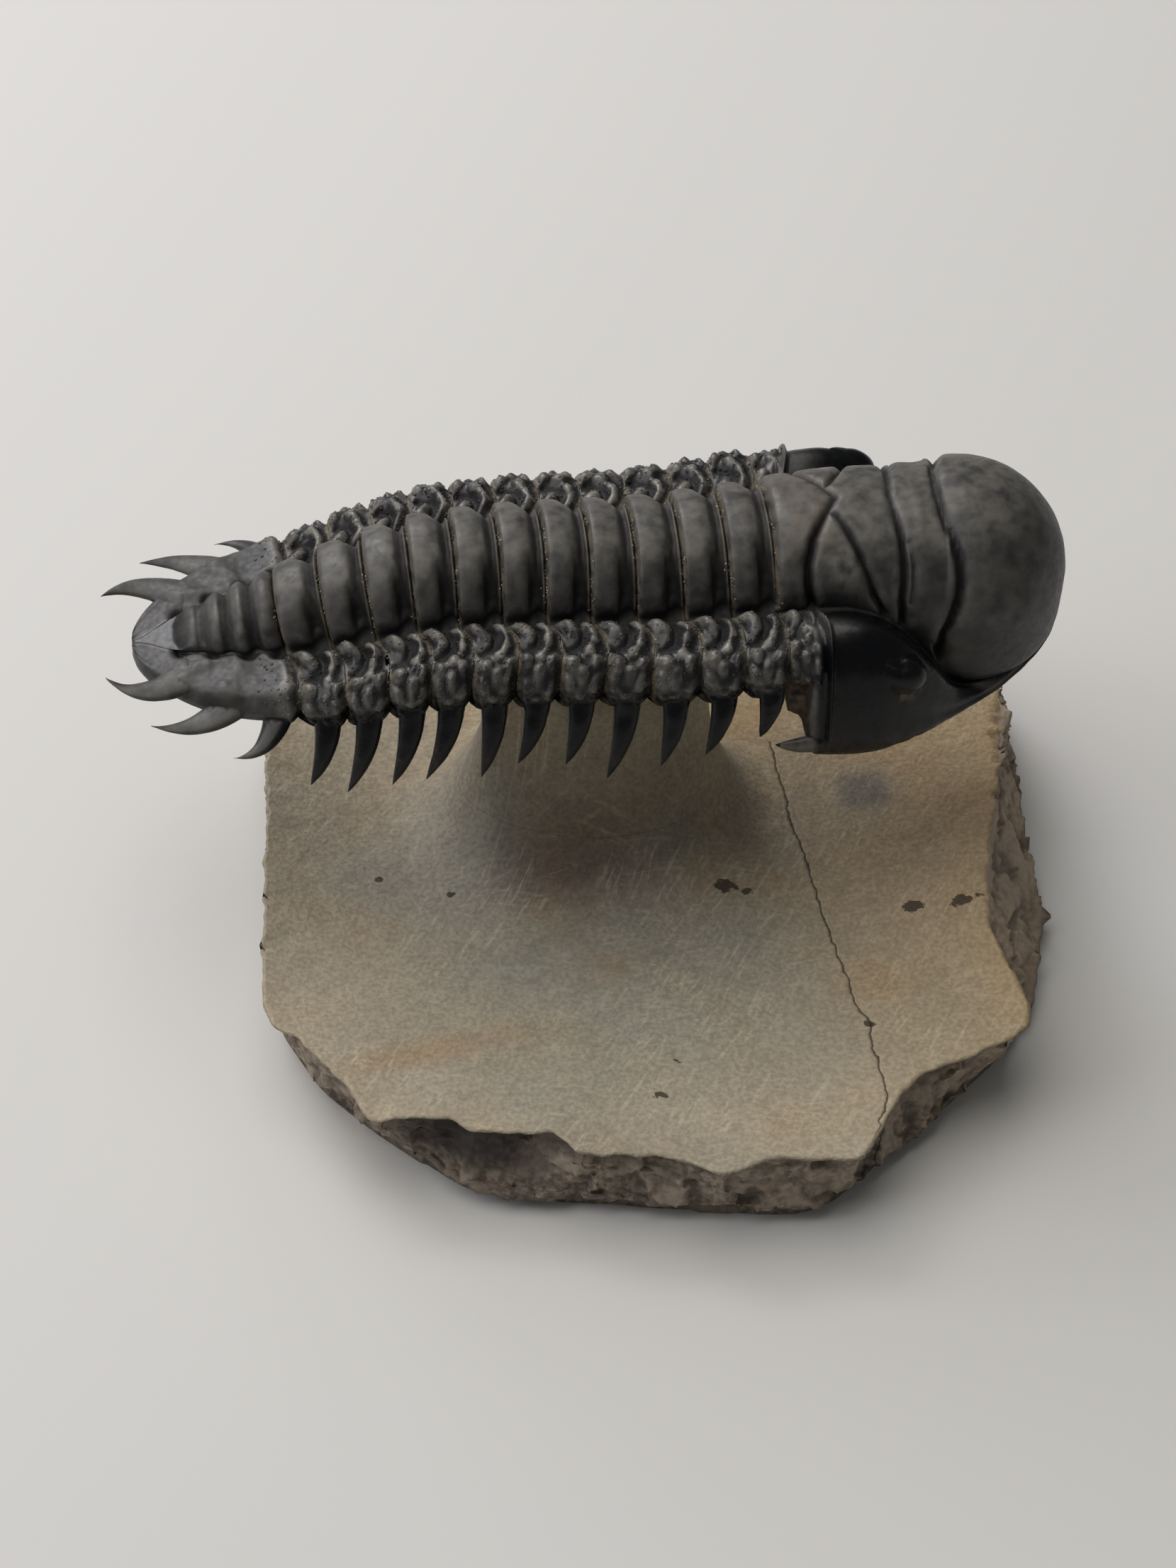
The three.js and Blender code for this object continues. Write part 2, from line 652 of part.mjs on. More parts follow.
const trilobite = new THREE.Group();
trilobite.add(named('cephalon', cephalon(), calcite(0.42)));
for (let index = 0; index < SEGMENT_COUNT; index += 1) {
  const number = String(index + 1).padStart(2, '0');
  trilobite.add(named(`thoracic_segment_${number}`, thoracicSegment(index), calcite(0.34)));
}
trilobite.add(named('pygidium', pygidium(), calcite(0.45)));
trilobite.add(named('matrix_pedestal', matrixPedestal(), limestone));

export default trilobite;
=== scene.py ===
# %% [markdown]
# # A spiny fossil trilobite on a pillar of its own limestone
# The animal's armour is black calcite. A preparator cut the pale matrix away from under it with
# an air scribe, so it stands on a pillar that rises from a dished, broken slab. We build each
# plate of the armour as rows of points, because a plate is a ring whose outline changes slowly
# from tail to head. What repeats, the spines and the grains, comes from Geometry Nodes.
# Lengths in the code are millimetres, and one factor turns them into Blender's metres.

import math
from functools import partial

import bpy
import numpy as np
from mathutils import Matrix, Vector, noise


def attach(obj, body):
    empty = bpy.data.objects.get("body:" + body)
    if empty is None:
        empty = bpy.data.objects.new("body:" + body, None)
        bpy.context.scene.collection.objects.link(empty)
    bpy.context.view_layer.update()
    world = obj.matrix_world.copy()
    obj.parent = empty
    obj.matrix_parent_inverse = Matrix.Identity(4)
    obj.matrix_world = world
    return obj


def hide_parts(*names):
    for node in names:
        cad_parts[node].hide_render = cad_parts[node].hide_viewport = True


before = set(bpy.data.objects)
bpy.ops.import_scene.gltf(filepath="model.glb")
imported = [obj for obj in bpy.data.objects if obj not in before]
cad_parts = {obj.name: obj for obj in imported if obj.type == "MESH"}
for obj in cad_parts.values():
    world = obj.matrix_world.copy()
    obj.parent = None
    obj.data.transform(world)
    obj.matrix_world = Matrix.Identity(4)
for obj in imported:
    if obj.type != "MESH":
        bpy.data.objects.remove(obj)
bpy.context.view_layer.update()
MM = 0.001

# %% [markdown]
# ## Measuring the animal
# A few stations from tail to head give each size. A curve that passes through them all, and is
# level beyond its ends, gives the size anywhere between. The same stations drive the CAD
# solids, so the fine shape stays on them.


# %% Curves through stations
def through(stations):
    xs, values = np.array(stations, dtype=float).T
    slopes = np.empty_like(values)
    slopes[1:-1] = (values[2:] - values[:-2]) / (xs[2:] - xs[:-2])
    slopes[[0, -1]] = np.diff(values)[[0, -1]] / np.diff(xs)[[0, -1]]

    def curve(x):
        x = np.clip(np.asarray(x, dtype=float), xs[0], xs[-1])
        i = np.clip(np.searchsorted(xs, x, side="right") - 1, 0, len(xs) - 2)
        span = xs[i + 1] - xs[i]
        t = (x - xs[i]) / span
        ease = t * t * (3 - 2 * t)
        swing = slopes[i] * t * (1 - t) ** 2 - slopes[i + 1] * t * t * (1 - t)
        return values[i] + (values[i + 1] - values[i]) * ease + span * swing

    return curve


def fade(low, high, x):
    t = np.clip((np.asarray(x, dtype=float) - low) / (high - low), 0, 1)
    return t * t * (3 - 2 * t)


axis_half_width = through([
    (-44.95, 0.1), (-43.6, 0.6), (-41.4, 2.0), (-39, 3.1), (-36, 4.1), (-30.6, 5.1),
    (-26.9, 5.7), (-18.5, 6.5), (-4.7, 6.9), (7.4, 7.3), (18, 8.0), (23, 8.6), (28, 9.4),
    (30.5, 9.96)])
axis_rise = through([
    (-43.6, 0.03), (-42, 0.15), (-41, 0.6), (-39, 1.6), (-36, 2.8), (-30.6, 4.3), (-26.9, 4.8),
    (-18.5, 5.4), (3.2, 5.8), (18, 6.1), (23, 6.6), (28, 8.1), (30.5, 9.7)])
furrow_level = through([
    (-44.6, 32.2), (-40, 33.2), (-36, 34.0), (-30.6, 35.4), (-26.9, 36.6), (-22.7, 37.9),
    (-18.5, 38.9), (-9.4, 39.5), (3.2, 39.3), (11.5, 40.0), (17, 40.5), (22, 40.3),
    (28, 38.7), (33.3, 37.3)])
body_half_width = through([
    (-44.95, 0.5), (-44.8, 1.8), (-44.4, 3.0), (-43.7, 4.3), (-42.7, 5.6), (-41.4, 6.8),
    (-39, 8.7), (-36, 10.4), (-32, 12.0), (-26.9, 13.1), (-18.5, 13.8), (-9.4, 14.1),
    (3.2, 14.8), (14.4, 15.6)])
margin_drop = through([
    (-44.6, 0.9), (-38, 2.0), (-32, 2.3), (-22.7, 2.8), (-9.4, 3.2), (14.4, 2.8)])
lean_fade = through([(-44.6, 0), (-36, 0.6), (-31, 0.95), (-27, 0.65), (-20, 0.55)])

THORAX_FRONT_X = 14.4
LEAN_SPAN = 3.0
BELLY_Z = 34.8


# how far a section leans back, as a share of its height
def lean(x):
    ahead = np.minimum(x + LEAN_SPAN, THORAX_FRONT_X)
    climb = (furrow_level(ahead) - furrow_level(x - LEAN_SPAN)) / (ahead - x + LEAN_SPAN)
    return climb * lean_fade(x)


print("ring half width, last and first segment:", axis_half_width((-30.6, 11.5)).round(2))

# %% [markdown]
# ## Turning rows of points into a mesh
# A row is one closed loop round a plate. Quads join each row to the next, and one flat face
# closes each end. Blender then turns all faces outwards. Booleans fuse what grew together, such
# as a spine and its plate, so that no face is left inside.


# %% Skin and union
def link(name, mesh):
    piece = bpy.data.objects.new(name, mesh)
    bpy.context.scene.collection.objects.link(piece)
    return piece


def skin(name, rows):
    rows = np.asarray(rows)
    count, across = rows.shape[:2]
    row, column = np.meshgrid(np.arange(count - 1), np.arange(across), indexing="ij")
    a = row * across + column
    b = row * across + (column + 1) % across
    faces = np.stack([a, b, b + across, a + across], -1).reshape(-1, 4).tolist()
    faces.append(list(range(across))[::-1])
    faces.append(list(range((count - 1) * across, count * across)))
    mesh = bpy.data.meshes.new(name)
    mesh.from_pydata((rows.reshape(-1, 3) * MM).tolist(), [], faces)
    if signed_volume(mesh) < 0:
        mesh.flip_normals()
    return link(name, mesh)


def signed_volume(mesh):
    mesh.calc_loop_triangles()
    points = places(mesh)
    corners = np.empty(len(mesh.loop_triangles) * 3, dtype=np.int32)
    mesh.loop_triangles.foreach_get("vertices", corners)
    a, b, c = (points[corners[i::3]] for i in range(3))
    return float(np.einsum("ij,ij->i", a, np.cross(b, c)).sum() / 6)


def places(mesh):
    points = np.empty(len(mesh.vertices) * 3)
    mesh.vertices.foreach_get("co", points)
    return points.reshape(-1, 3) / MM


def facings(mesh):
    normals = np.empty(len(mesh.vertices) * 3)
    mesh.vertices.foreach_get("normal", normals)
    return normals.reshape(-1, 3)


def move_points(mesh, points):
    mesh.vertices.foreach_set("co", (points * MM).ravel())
    mesh.update()


def settle(piece):
    bpy.context.view_layer.update()
    shown = piece.evaluated_get(bpy.context.evaluated_depsgraph_get())
    mesh = bpy.data.meshes.new_from_object(shown)
    piece.modifiers.clear()
    piece.data = mesh
    return piece


def remove(piece):
    bpy.data.objects.remove(piece, do_unlink=True)


def fuse(piece, parts):
    for part in parts:
        step = piece.modifiers.new("fuse", "BOOLEAN")
        step.operation = "UNION"
        step.solver = "MANIFOLD"
        step.object = part
    settle(piece)
    for part in parts:
        remove(part)
    return piece


def triangles(piece):
    return sum(len(face.vertices) - 2 for face in piece.data.polygons)


# %% [markdown]
# ## A spine by Geometry Nodes
# Every plate carries hollow spines shaped like a sickle: broad and flat at the root, wide for
# most of their length, then drawn in to a point that bends back to the tail. There are thirty of
# them, so one node tree sweeps an oval along a bend, and the taper is a rule along the curve.


# %% One helper for all nodes
MATH = "ShaderNodeMath"


# a node given for an input stands for its first live output
def plug(node, inputs):
    for key, value in inputs.items():
        if isinstance(value, bpy.types.Node):
            value = next(socket for socket in value.outputs if socket.enabled)
        if isinstance(value, bpy.types.NodeSocket):
            node.id_data.links.new(value, node.inputs[key])
        else:
            node.inputs[key].default_value = value
    return node


def add_node(tree, kind, inputs=None, **settings):
    node = tree.nodes.new(kind)
    for key, value in settings.items():
        setattr(node, key, value)
    return plug(node, inputs or {})


def new_tree(name, **sockets):
    tree = bpy.data.node_groups.new(name, "GeometryNodeTree")
    for kind, labels in sockets.items():
        for label in labels:
            tree.interface.new_socket(name=label, in_out="INPUT", socket_type="NodeSocket" + kind)
    tree.interface.new_socket(name="Geometry", in_out="OUTPUT", socket_type="NodeSocketGeometry")
    return tree, tree.nodes.new("NodeGroupInput").outputs, partial(add_node, tree)


def end_tree(tree, geometry, material=None):
    real = add_node(tree, "GeometryNodeRealizeInstances", {"Geometry": geometry})
    if material is not None:
        real = add_node(tree, "GeometryNodeSetMaterial", {"Geometry": real, "Material": material})
    add_node(tree, "NodeGroupOutput", {0: real})


def run_tree(piece, tree, values):
    step = piece.modifiers.new("nodes", "NODES")
    step.node_group = tree
    for item in tree.interface.items_tree:
        if item.in_out == "INPUT" and item.name in values:
            step[item.identifier] = values[item.name]
    return settle(piece)

# %% The spine tree
def spine_tree():
    tree, given, add = new_tree(
        "Sickle spine", Vector=("Root", "Bend", "Tip", "Broad"),
        Float=("Width", "Thickness", "Fullness", "Flare", "Flare Power"))
    path = add("GeometryNodeCurveQuadraticBezier", {
        "Resolution": 22, "Start": given["Root"], "Middle": given["Bend"], "End": given["Tip"]})
    turned = add("GeometryNodeSetCurveNormal", {"Curve": path, "Normal": given["Broad"]},
                 mode="FREE")
    along = add("GeometryNodeSplineParameter")
    drawn = add(MATH, {0: along, 1: given["Fullness"]}, operation="POWER")
    left = add(MATH, {0: 1.0, 1: drawn}, operation="SUBTRACT")
    body = add(MATH, {0: left, 1: 0.8}, operation="POWER")
    to_tip = add(MATH, {0: 1.0, 1: along}, operation="SUBTRACT")
    near_root = add(MATH, {0: to_tip, 1: given["Flare Power"]}, operation="POWER")
    flare = add(MATH, {0: near_root, 1: given["Flare"]}, operation="MULTIPLY")
    grown = add(MATH, {0: along, 1: 7.0, 2: 0.2}, operation="MULTIPLY_ADD")
    grown = add(MATH, {0: grown, 1: 1.0}, operation="MINIMUM")
    whole = add(MATH, {0: add(MATH, {0: body, 1: flare}), 1: grown}, operation="MULTIPLY")
    taper = add(MATH, {0: whole, 1: 0.05}, operation="MAXIMUM")
    oval = add("GeometryNodeCurvePrimitiveCircle", {"Resolution": 18, "Radius": 0.5})
    size = add("ShaderNodeCombineXYZ", {0: given["Width"], 1: given["Thickness"], 2: 1.0})
    profile = add("GeometryNodeTransform", {"Geometry": oval, "Scale": size})
    swept = add("GeometryNodeCurveToMesh", {
        "Curve": turned, "Profile Curve": profile, "Scale": taper, "Fill Caps": True})
    end_tree(tree, swept)
    return tree


SPINE = spine_tree()


def spine(name, root, bend, tip, width, thickness, broad, fullness=2.3, flare=0.35, power=9.0):
    piece = link(name, bpy.data.meshes.new(name))
    root, bend, tip = (tuple(v * MM for v in point) for point in (root, bend, tip))
    run_tree(piece, SPINE, {
        "Root": root, "Bend": bend, "Tip": tip, "Broad": broad, "Width": width * MM,
        "Thickness": thickness * MM, "Fullness": fullness, "Flare": flare, "Flare Power": power})
    if signed_volume(piece.data) < 0:
        piece.data.flip_normals()
    return piece


print("spine tree:", len(SPINE.nodes), "nodes")

# %% [markdown]
# ## The section of a thorax plate
# From the middle of the back outwards a section has a high ring, a sharp furrow, a side lobe
# with knobs, a margin that turns down, and a flat belly where the matrix fills the animal. Low
# parts of the ring sit a little narrower too, which keeps the furrows dark on the flanks.

# %% Half a section
RING_TURN = np.radians(np.linspace(0, 93, 42))
UNDER_POINTS = 6
ON_FLANK = fade(20, 62, np.degrees(RING_TURN)) * (1 - 0.62 * fade(70, 93, np.degrees(RING_TURN)))
LOBE_SHARE = np.linspace(0.015, 1.24, 60)
PAST_MARGIN = np.clip((LOBE_SHARE - 1) / 0.24, 0, 1)
LOBE_TILT = fade(0.62, 1.1, LOBE_SHARE) * math.radians(84)
lobe_flat = through([(0, -0.75), (0.03, -0.65), (0.075, -0.2), (0.2, 0.0), (0.54, 0.0),
                     (0.8, 0.1), (0.95, 0), (1.24, 0)])(LOBE_SHARE)
lobe_hang = through([(0, 0), (0.54, 0), (0.8, 0.08), (0.92, 0.36), (1, 0.75)])(LOBE_SHARE)


def joint_sweep(share, x):
    sweep = 1.0 * fade(0, 0.4, share) - 0.5 * fade(0.6, 1.1, share)
    return sweep * fade(-38, -33, x) * (1 - 0.7 * fade(6, THORAX_FRONT_X, x))


def half_section(x, drops, relief, inset):
    half, rise_here, furrow, drop = (
        curve(x) for curve in (axis_half_width, axis_rise, furrow_level, margin_drop))
    ring_drop = drops[0] + (drops[1] - drops[0]) * ON_FLANK
    rise = np.maximum(rise_here - ring_drop, 0.05)
    margin = max(body_half_width(x) - inset, half + 0.3)
    lobe = margin - half
    belly = min(BELLY_Z, furrow - drop - 0.6)
    narrow = half - 0.7 * ring_drop * min(1, rise_here / 4)
    ring = np.stack([narrow * np.sin(RING_TURN), furrow + rise * np.cos(RING_TURN)], 1)
    shallow = min(rise_here / 5, 1) * (0.12 + 0.88 * fade(-34, -30, x))
    flat = np.where(lobe_flat < 0, lobe_flat * shallow, lobe_flat)
    edge = furrow - drop - 0.1 - 1.25 * fade(-33.5, -29.5, x) * (1 - 0.5 * inset)
    hang = drop * lobe_hang + (furrow - 0.75 * drop - edge) * PAST_MARGIN
    side = np.stack([
        half + np.minimum(LOBE_SHARE, 1) * lobe + relief * np.sin(LOBE_TILT),
        furrow + flat - hang + relief * np.cos(LOBE_TILT)], 1)
    under = np.array([
        (margin - 0.3, edge - 0.05), (margin - 0.12 * lobe, edge + 0.15),
        (margin - 0.2 * lobe, 0.4 * edge + 0.6 * belly), (margin - 0.35 * lobe, belly),
        (0.5 * margin, belly), (0.0, belly)])
    return np.concatenate([ring, side, under])


def body_row(x, drops, far_relief, near_relief, inset):
    far = half_section(x, drops, far_relief, inset)
    near = half_section(x, drops, near_relief, inset)[1:-1][::-1]
    y = np.concatenate([far[:, 0], -near[:, 0]])
    z = np.concatenate([far[:, 1], near[:, 1]])
    crest = furrow_level(x) + axis_rise(x)
    sweep = np.concatenate([0 * RING_TURN, joint_sweep(LOBE_SHARE, x), np.zeros(UNDER_POINTS)])
    sweep = np.concatenate([sweep, sweep[1:-1][::-1]])
    return np.stack([x + lean(x) * (crest - z) + sweep, y, z], 1)


print("points round one plate:", len(body_row(0.0, (0, 0), 0, 0, 0)))

# %% [markdown]
# ## Eleven thorax segments
# Each segment repeats the same forms: a ring with a steep rear edge, a deep furrow ahead of it
# and a low half ring that slides under the next one. On each side lobe a slanting furrow parts a
# rear knob from a front knob that runs back and down, and smaller knobs follow near the margin.
# No two are quite alike, so every knob gets its own small change from a fixed seed.

# %% Relief of a segment
CREST_PITCH = 4.21
FIRST_CREST_X = 11.5
REAR_OF_CREST = 1.4
SEGMENTS = 11
SPINE_SHARES = [0.62, 0.8, 0.9, 1.04, 0.86, 0.84, 1, 0.98, 1, 1, 0.84]
SPINE_SWEEPS = [0.8, 1.5, 1.1, 1.6, 1.2, 1.6, 1.0, 2.2, 1.7, 1.9, 1.5]
SPINE_LENGTH = 8.2
dice = np.random.default_rng(17)

top_drop_at = through([
    (0, 1.2), (0.02, 0.7), (0.05, 0.25), (0.1, 0.04), (0.25, 0.0), (0.45, 0.05), (0.6, 0.2),
    (0.7, 0.42), (0.78, 0.85), (0.84, 1.15), (0.89, 1.0), (0.94, 0.72), (0.97, 0.8), (1, 1.2)])
flank_drop_at = through([
    (0, 1.4), (0.02, 0.75), (0.05, 0.25), (0.1, 0.04), (0.22, 0.0), (0.38, 0.06), (0.5, 0.3),
    (0.58, 0.8), (0.64, 1.55), (0.7, 2.0), (0.82, 2.1), (0.89, 1.8), (0.94, 1.3), (0.97, 1.4),
    (1, 1.7)])
inset_at = through([(0, 0.9), (0.08, 0.45), (0.25, 0.02), (0.6, 0.02), (0.8, 0.25), (1, 0.9)])
SLICES = np.unique(np.concatenate([np.linspace(0, 0.12, 8), np.linspace(0.12, 0.55, 14),
                                   np.linspace(0.55, 1, 22)]))

# place along the segment, share of the side lobe, reach along and across, height
KNOBS = [
    (0.31, 0.21, 0.95, 1.3, 1.05), (0.78, 0.24, 0.55, 1.15, 0.75), (0.7, 0.45, 0.6, 0.95, 0.75),
    (0.55, 0.63, 0.7, 0.85, 0.62), (0.22, 0.74, 0.62, 0.8, 0.5), (0.77, 0.78, 0.5, 0.7, 0.5),
    (0.48, 0.9, 0.5, 0.5, 0.45), (0.17, 0.98, 0.5, 0.45, 0.42), (0.78, 1.0, 0.5, 0.5, 0.45),
    (0.46, 1.08, 0.5, 0.45, 0.42), (0.2, 1.16, 0.45, 0.4, 0.36), (0.74, 1.17, 0.45, 0.4, 0.36)]
SLANT = [(0.56, 0.06), (0.54, 0.26), (0.43, 0.46), (0.16, 0.56)]


def gap_to_line(across, along, line):
    best = np.full(np.broadcast(across, along).shape, 1e9)
    for (x0, y0), (x1, y1) in zip(line[:-1], line[1:]):
        dx, dy = x1 - x0, y1 - y0
        t = np.clip(((across - x0) * dx + (along - y0) * dy) / (dx * dx + dy * dy), 0, 1)
        best = np.minimum(best, np.hypot(across - x0 - t * dx, along - y0 - t * dy))
    return best


def groove(gap, depth, width):
    return depth * np.exp(-(gap / width) ** 1.5)


def own_knobs():
    changes = dice.uniform(-1, 1, (len(KNOBS), 3)) * (0.045, 0.035, 0.2)
    return [(at + a, share + b, along, across, height * (1 + c))
            for (at, share, along, across, height), (a, b, c) in zip(KNOBS, changes)]


def lobe_relief(at, length, lobe, knobs):
    relief = np.full(LOBE_SHARE.shape, -0.25)
    for knob_at, share, along, across, height in knobs:
        reach = ((at - knob_at) * length / along) ** 2
        reach = reach + ((LOBE_SHARE - share) * lobe / across) ** 2
        relief = relief + height * np.exp(-reach ** 1.25)
    slant = [(a * length, share * lobe) for a, share in SLANT]
    gap = gap_to_line(at * length, LOBE_SHARE * lobe, slant)
    relief = relief - groove(gap, 0.4, 0.3)
    joint = fade(0, 0.09, at) * (1 - fade(0.93, 1, at))
    return relief * joint - 0.25 * (1 - joint)


# %% Grow the segments
def segment_span(index):
    rear = FIRST_CREST_X - CREST_PITCH * index - REAR_OF_CREST
    front = THORAX_FRONT_X if index == 0 else rear + CREST_PITCH
    return rear, front


def segment_spines(index):
    rear, front = segment_span(index)
    middle = rear + 0.55 * (front - rear)
    drop, margin = margin_drop(middle), body_half_width(middle)
    root_z = furrow_level(middle) - drop
    root_x = middle + lean(middle) * (axis_rise(middle) + drop)
    share, sweep = SPINE_SHARES[index], SPINE_SWEEPS[index]
    length = SPINE_LENGTH * share
    return [spine(
        "pleural_spine",
        (root_x + 0.3, side * (margin - 1.7), root_z + 0.6),
        (root_x + 0.65, side * (margin + 0.9), root_z - 0.45 * length),
        (root_x + 0.1 - sweep, side * (margin + 2.0 * share), root_z - length + 0.1),
        2.6, 1.6, (1, 0, 0)) for side in (1, -1)]


def thorax_segment(index):
    rear, front = segment_span(index)
    far, near = own_knobs(), own_knobs()
    rows = []
    for at in SLICES:
        x = rear + (front - rear) * at
        lobe = body_half_width(x) - axis_half_width(x)
        drops = top_drop_at(at), flank_drop_at(at)
        rows.append(body_row(x, drops, lobe_relief(at, front - rear, lobe, far),
                             lobe_relief(at, front - rear, lobe, near), inset_at(at)))
    return fuse(skin(f"armour_segment_{index + 1:02d}", rows), segment_spines(index))


segments = [thorax_segment(index) for index in range(SEGMENTS)]
print("segments:", len(segments), "triangles in the first:", triangles(segments[0]))

# %% [markdown]
# ## The tail shield
# The tail shield is one plate. Its axis keeps four fading rings, ribs run out from it to three
# pairs of curved spines, and deep pits lie beside the axis where the rings end.

# %% Tail shield
tail_drop = through([
    (-44.6, 0.1), (-43, 0.15), (-41.6, 0.45), (-40.9, 0.6), (-39.9, 0.1), (-39.3, 0.1),
    (-38.5, 0.75), (-37.7, 0.15), (-37.0, 0.15), (-36.3, 0.95), (-35.5, 0.15), (-34.9, 0.1),
    (-34.15, 1.1), (-33.4, 0.2), (-32.7, 0.15), (-32.1, 0.8), (-31.97, 1.5)])
RIBS = [[(-33.0, 5.2), (-33.2, 11.5)], [(-35.6, 4.8), (-37.6, 9.4)],
        [(-38.0, 4.0), (-41.2, 6.2)]]
PITS = [(-32.6, 5.2), (-34.9, 4.5), (-37.7, 3.6), (-40.5, 2.4)]
TAIL_END_X = [-44.35, -44.5, -44.62, -44.74, -44.84, -44.95]
# root, bend, tip and width
TAIL_SPINES = [
    ((-31.6, 8.4, 32.6), (-32.6, 14.9, 30.7), (-36.4, 14.2, 30.6), 3.2),
    ((-34.6, 7.0, 32.6), (-38.9, 12.2, 31.0), (-43.7, 10.8, 31.9), 4.0),
    ((-38.9, 4.2, 32.7), (-44.2, 8.9, 32.0), (-47.6, 5.4, 33.0), 4.0)]


def tail_relief(x):
    half = axis_half_width(x)
    lobe = max(body_half_width(x) - half, 0.6)
    y = half + LOBE_SHARE * lobe
    relief = np.zeros(LOBE_SHARE.shape)
    for rib in RIBS:
        relief += 0.3 * np.exp(-(gap_to_line(x, y, rib) / 1.0) ** 2)
    for pit_x, pit_y in PITS:
        relief -= 0.95 * np.exp(-(np.hypot(x - pit_x, y - pit_y) / 0.6) ** 2)
    inside = fade(-44.2, -42, x) * (1 - fade(-32.6, -32.0, x))
    relief *= inside * (1 - fade(0.75, 1.0, LOBE_SHARE))
    return relief - 0.24 * fade(-32.8, -32.0, x)


def tail_shield():
    last_rear = segment_span(SEGMENTS - 1)[0]
    rows = []
    for x in np.append(np.linspace(last_rear, -44.2, 88), TAIL_END_X):
        inset = 0.9 * fade(-32.8, last_rear, x)
        drops = 0.7 * tail_drop(x), 1.1 * tail_drop(x)
        rows.append(body_row(x, drops, tail_relief(x), tail_relief(x), inset))
    spines = [spine("tail_spine", *((x, side * y, z) for x, y, z in (root, bend, tip)),
                    width, 1.6, (tip[1] - root[1], side * (root[0] - tip[0]), 0), 1.25, 0.25, 2.0)
              for root, bend, tip, width in TAIL_SPINES for side in (1, -1)]
    return fuse(skin("armour_tail_shield", rows), spines)


tail = tail_shield()
print("tail shield triangles:", triangles(tail))

# %% [markdown]
# ## The head shield: axis
# The middle of the head swells from the neck ring to a ball at the front. Furrows cut it into
# lobes: one parts the neck ring, one runs slantwise from it and leaves a three-cornered lobe,
# and two cross behind the ball. Each furrow is a line of points, given as a place along the
# head and an angle from the top, and the surface sinks by a rule of the distance to that line.

# %% Furrows of the glabella
head_half_width = through([
    (15.2, 14.0), (16.7, 14.7), (17.1, 16.0), (17.8, 16.5), (21.3, 16.7), (23.7, 16.5),
    (26.2, 15.7), (28.7, 14.6), (31.4, 13.0), (34, 11.4), (36.7, 9.7), (39.5, 7.4),
    (41.8, 5.1), (43, 3.2), (43.5, 1.2)])
head_under_z = through([
    (15.2, 32.6), (16.6, 31.8), (17.1, 29.8), (17.8, 29.1), (31, 29.3), (37.4, 29.9), (41.2, 30.7),
    (43.6, 32.2)])
cheek_shelf_z = through([
    (15.2, 38.6), (16, 40.0), (17, 40.6), (22, 41.0), (25.8, 39.3), (29.2, 35.5), (32, 31.9),
    (35.5, 30.8), (40, 31.5), (43.6, 32.9)])
BALL_X, BALL_Z, BALL_RADIUS = 33.3, 37.3, 10.35
BALL_FROM_X, KEEL_DEPTH = 30.5, 7.9
COLLAR_FRONT_X, COLLAR_UNDER_Z = 17.2, 35.3
neck_drop = through([
    (THORAX_FRONT_X, 1.5), (14.55, 0.9), (14.8, 0.35), (15.2, 0.08), (16, 0.0)])
MM_PER_DEGREE = 8.6 * math.pi / 180

# [angle from the top, place along the head], depth on the flank and width of the cut
FURROWS = [
    ([(0, 20.7), (12, 19.8), (20, 19.1), (34, 18.1), (55, 17.45), (72, 17.45), (84, 17.7),
      (105, 18.2)], 1.15, 0.38),
    ([(12, 19.9), (17, 20.6), (30, 21.5), (46, 22.3), (61, 23.0), (77, 23.6), (90, 24.6)],
     1.0, 0.33),
    ([(0, 25.8), (18, 26.1), (35, 26.4), (60, 26.4), (75, 26.2), (94, 26.4)], 1.0, 0.35),
    ([(34, 26.9), (48, 27.3), (64, 27.2), (76, 26.9)], 0.35, 0.28),
    ([(0, 30.1), (17, 30.4), (33, 31.1), (45, 31.6), (55, 31.7), (66, 31.5), (82, 30.8),
      (98, 30.0)], 1.15, 0.4)]


def furrow_cut(x, degrees):
    flank = 0.38 + 0.62 * fade(5, 55, degrees)
    cut = np.zeros(degrees.shape)
    for line, depth, width in FURROWS:
        arc_line = [(place, angle * MM_PER_DEGREE) for angle, place in line]
        gap = gap_to_line(x, degrees * MM_PER_DEGREE, arc_line)
        cut = np.maximum(cut, groove(gap, depth, width) * flank)
    return cut


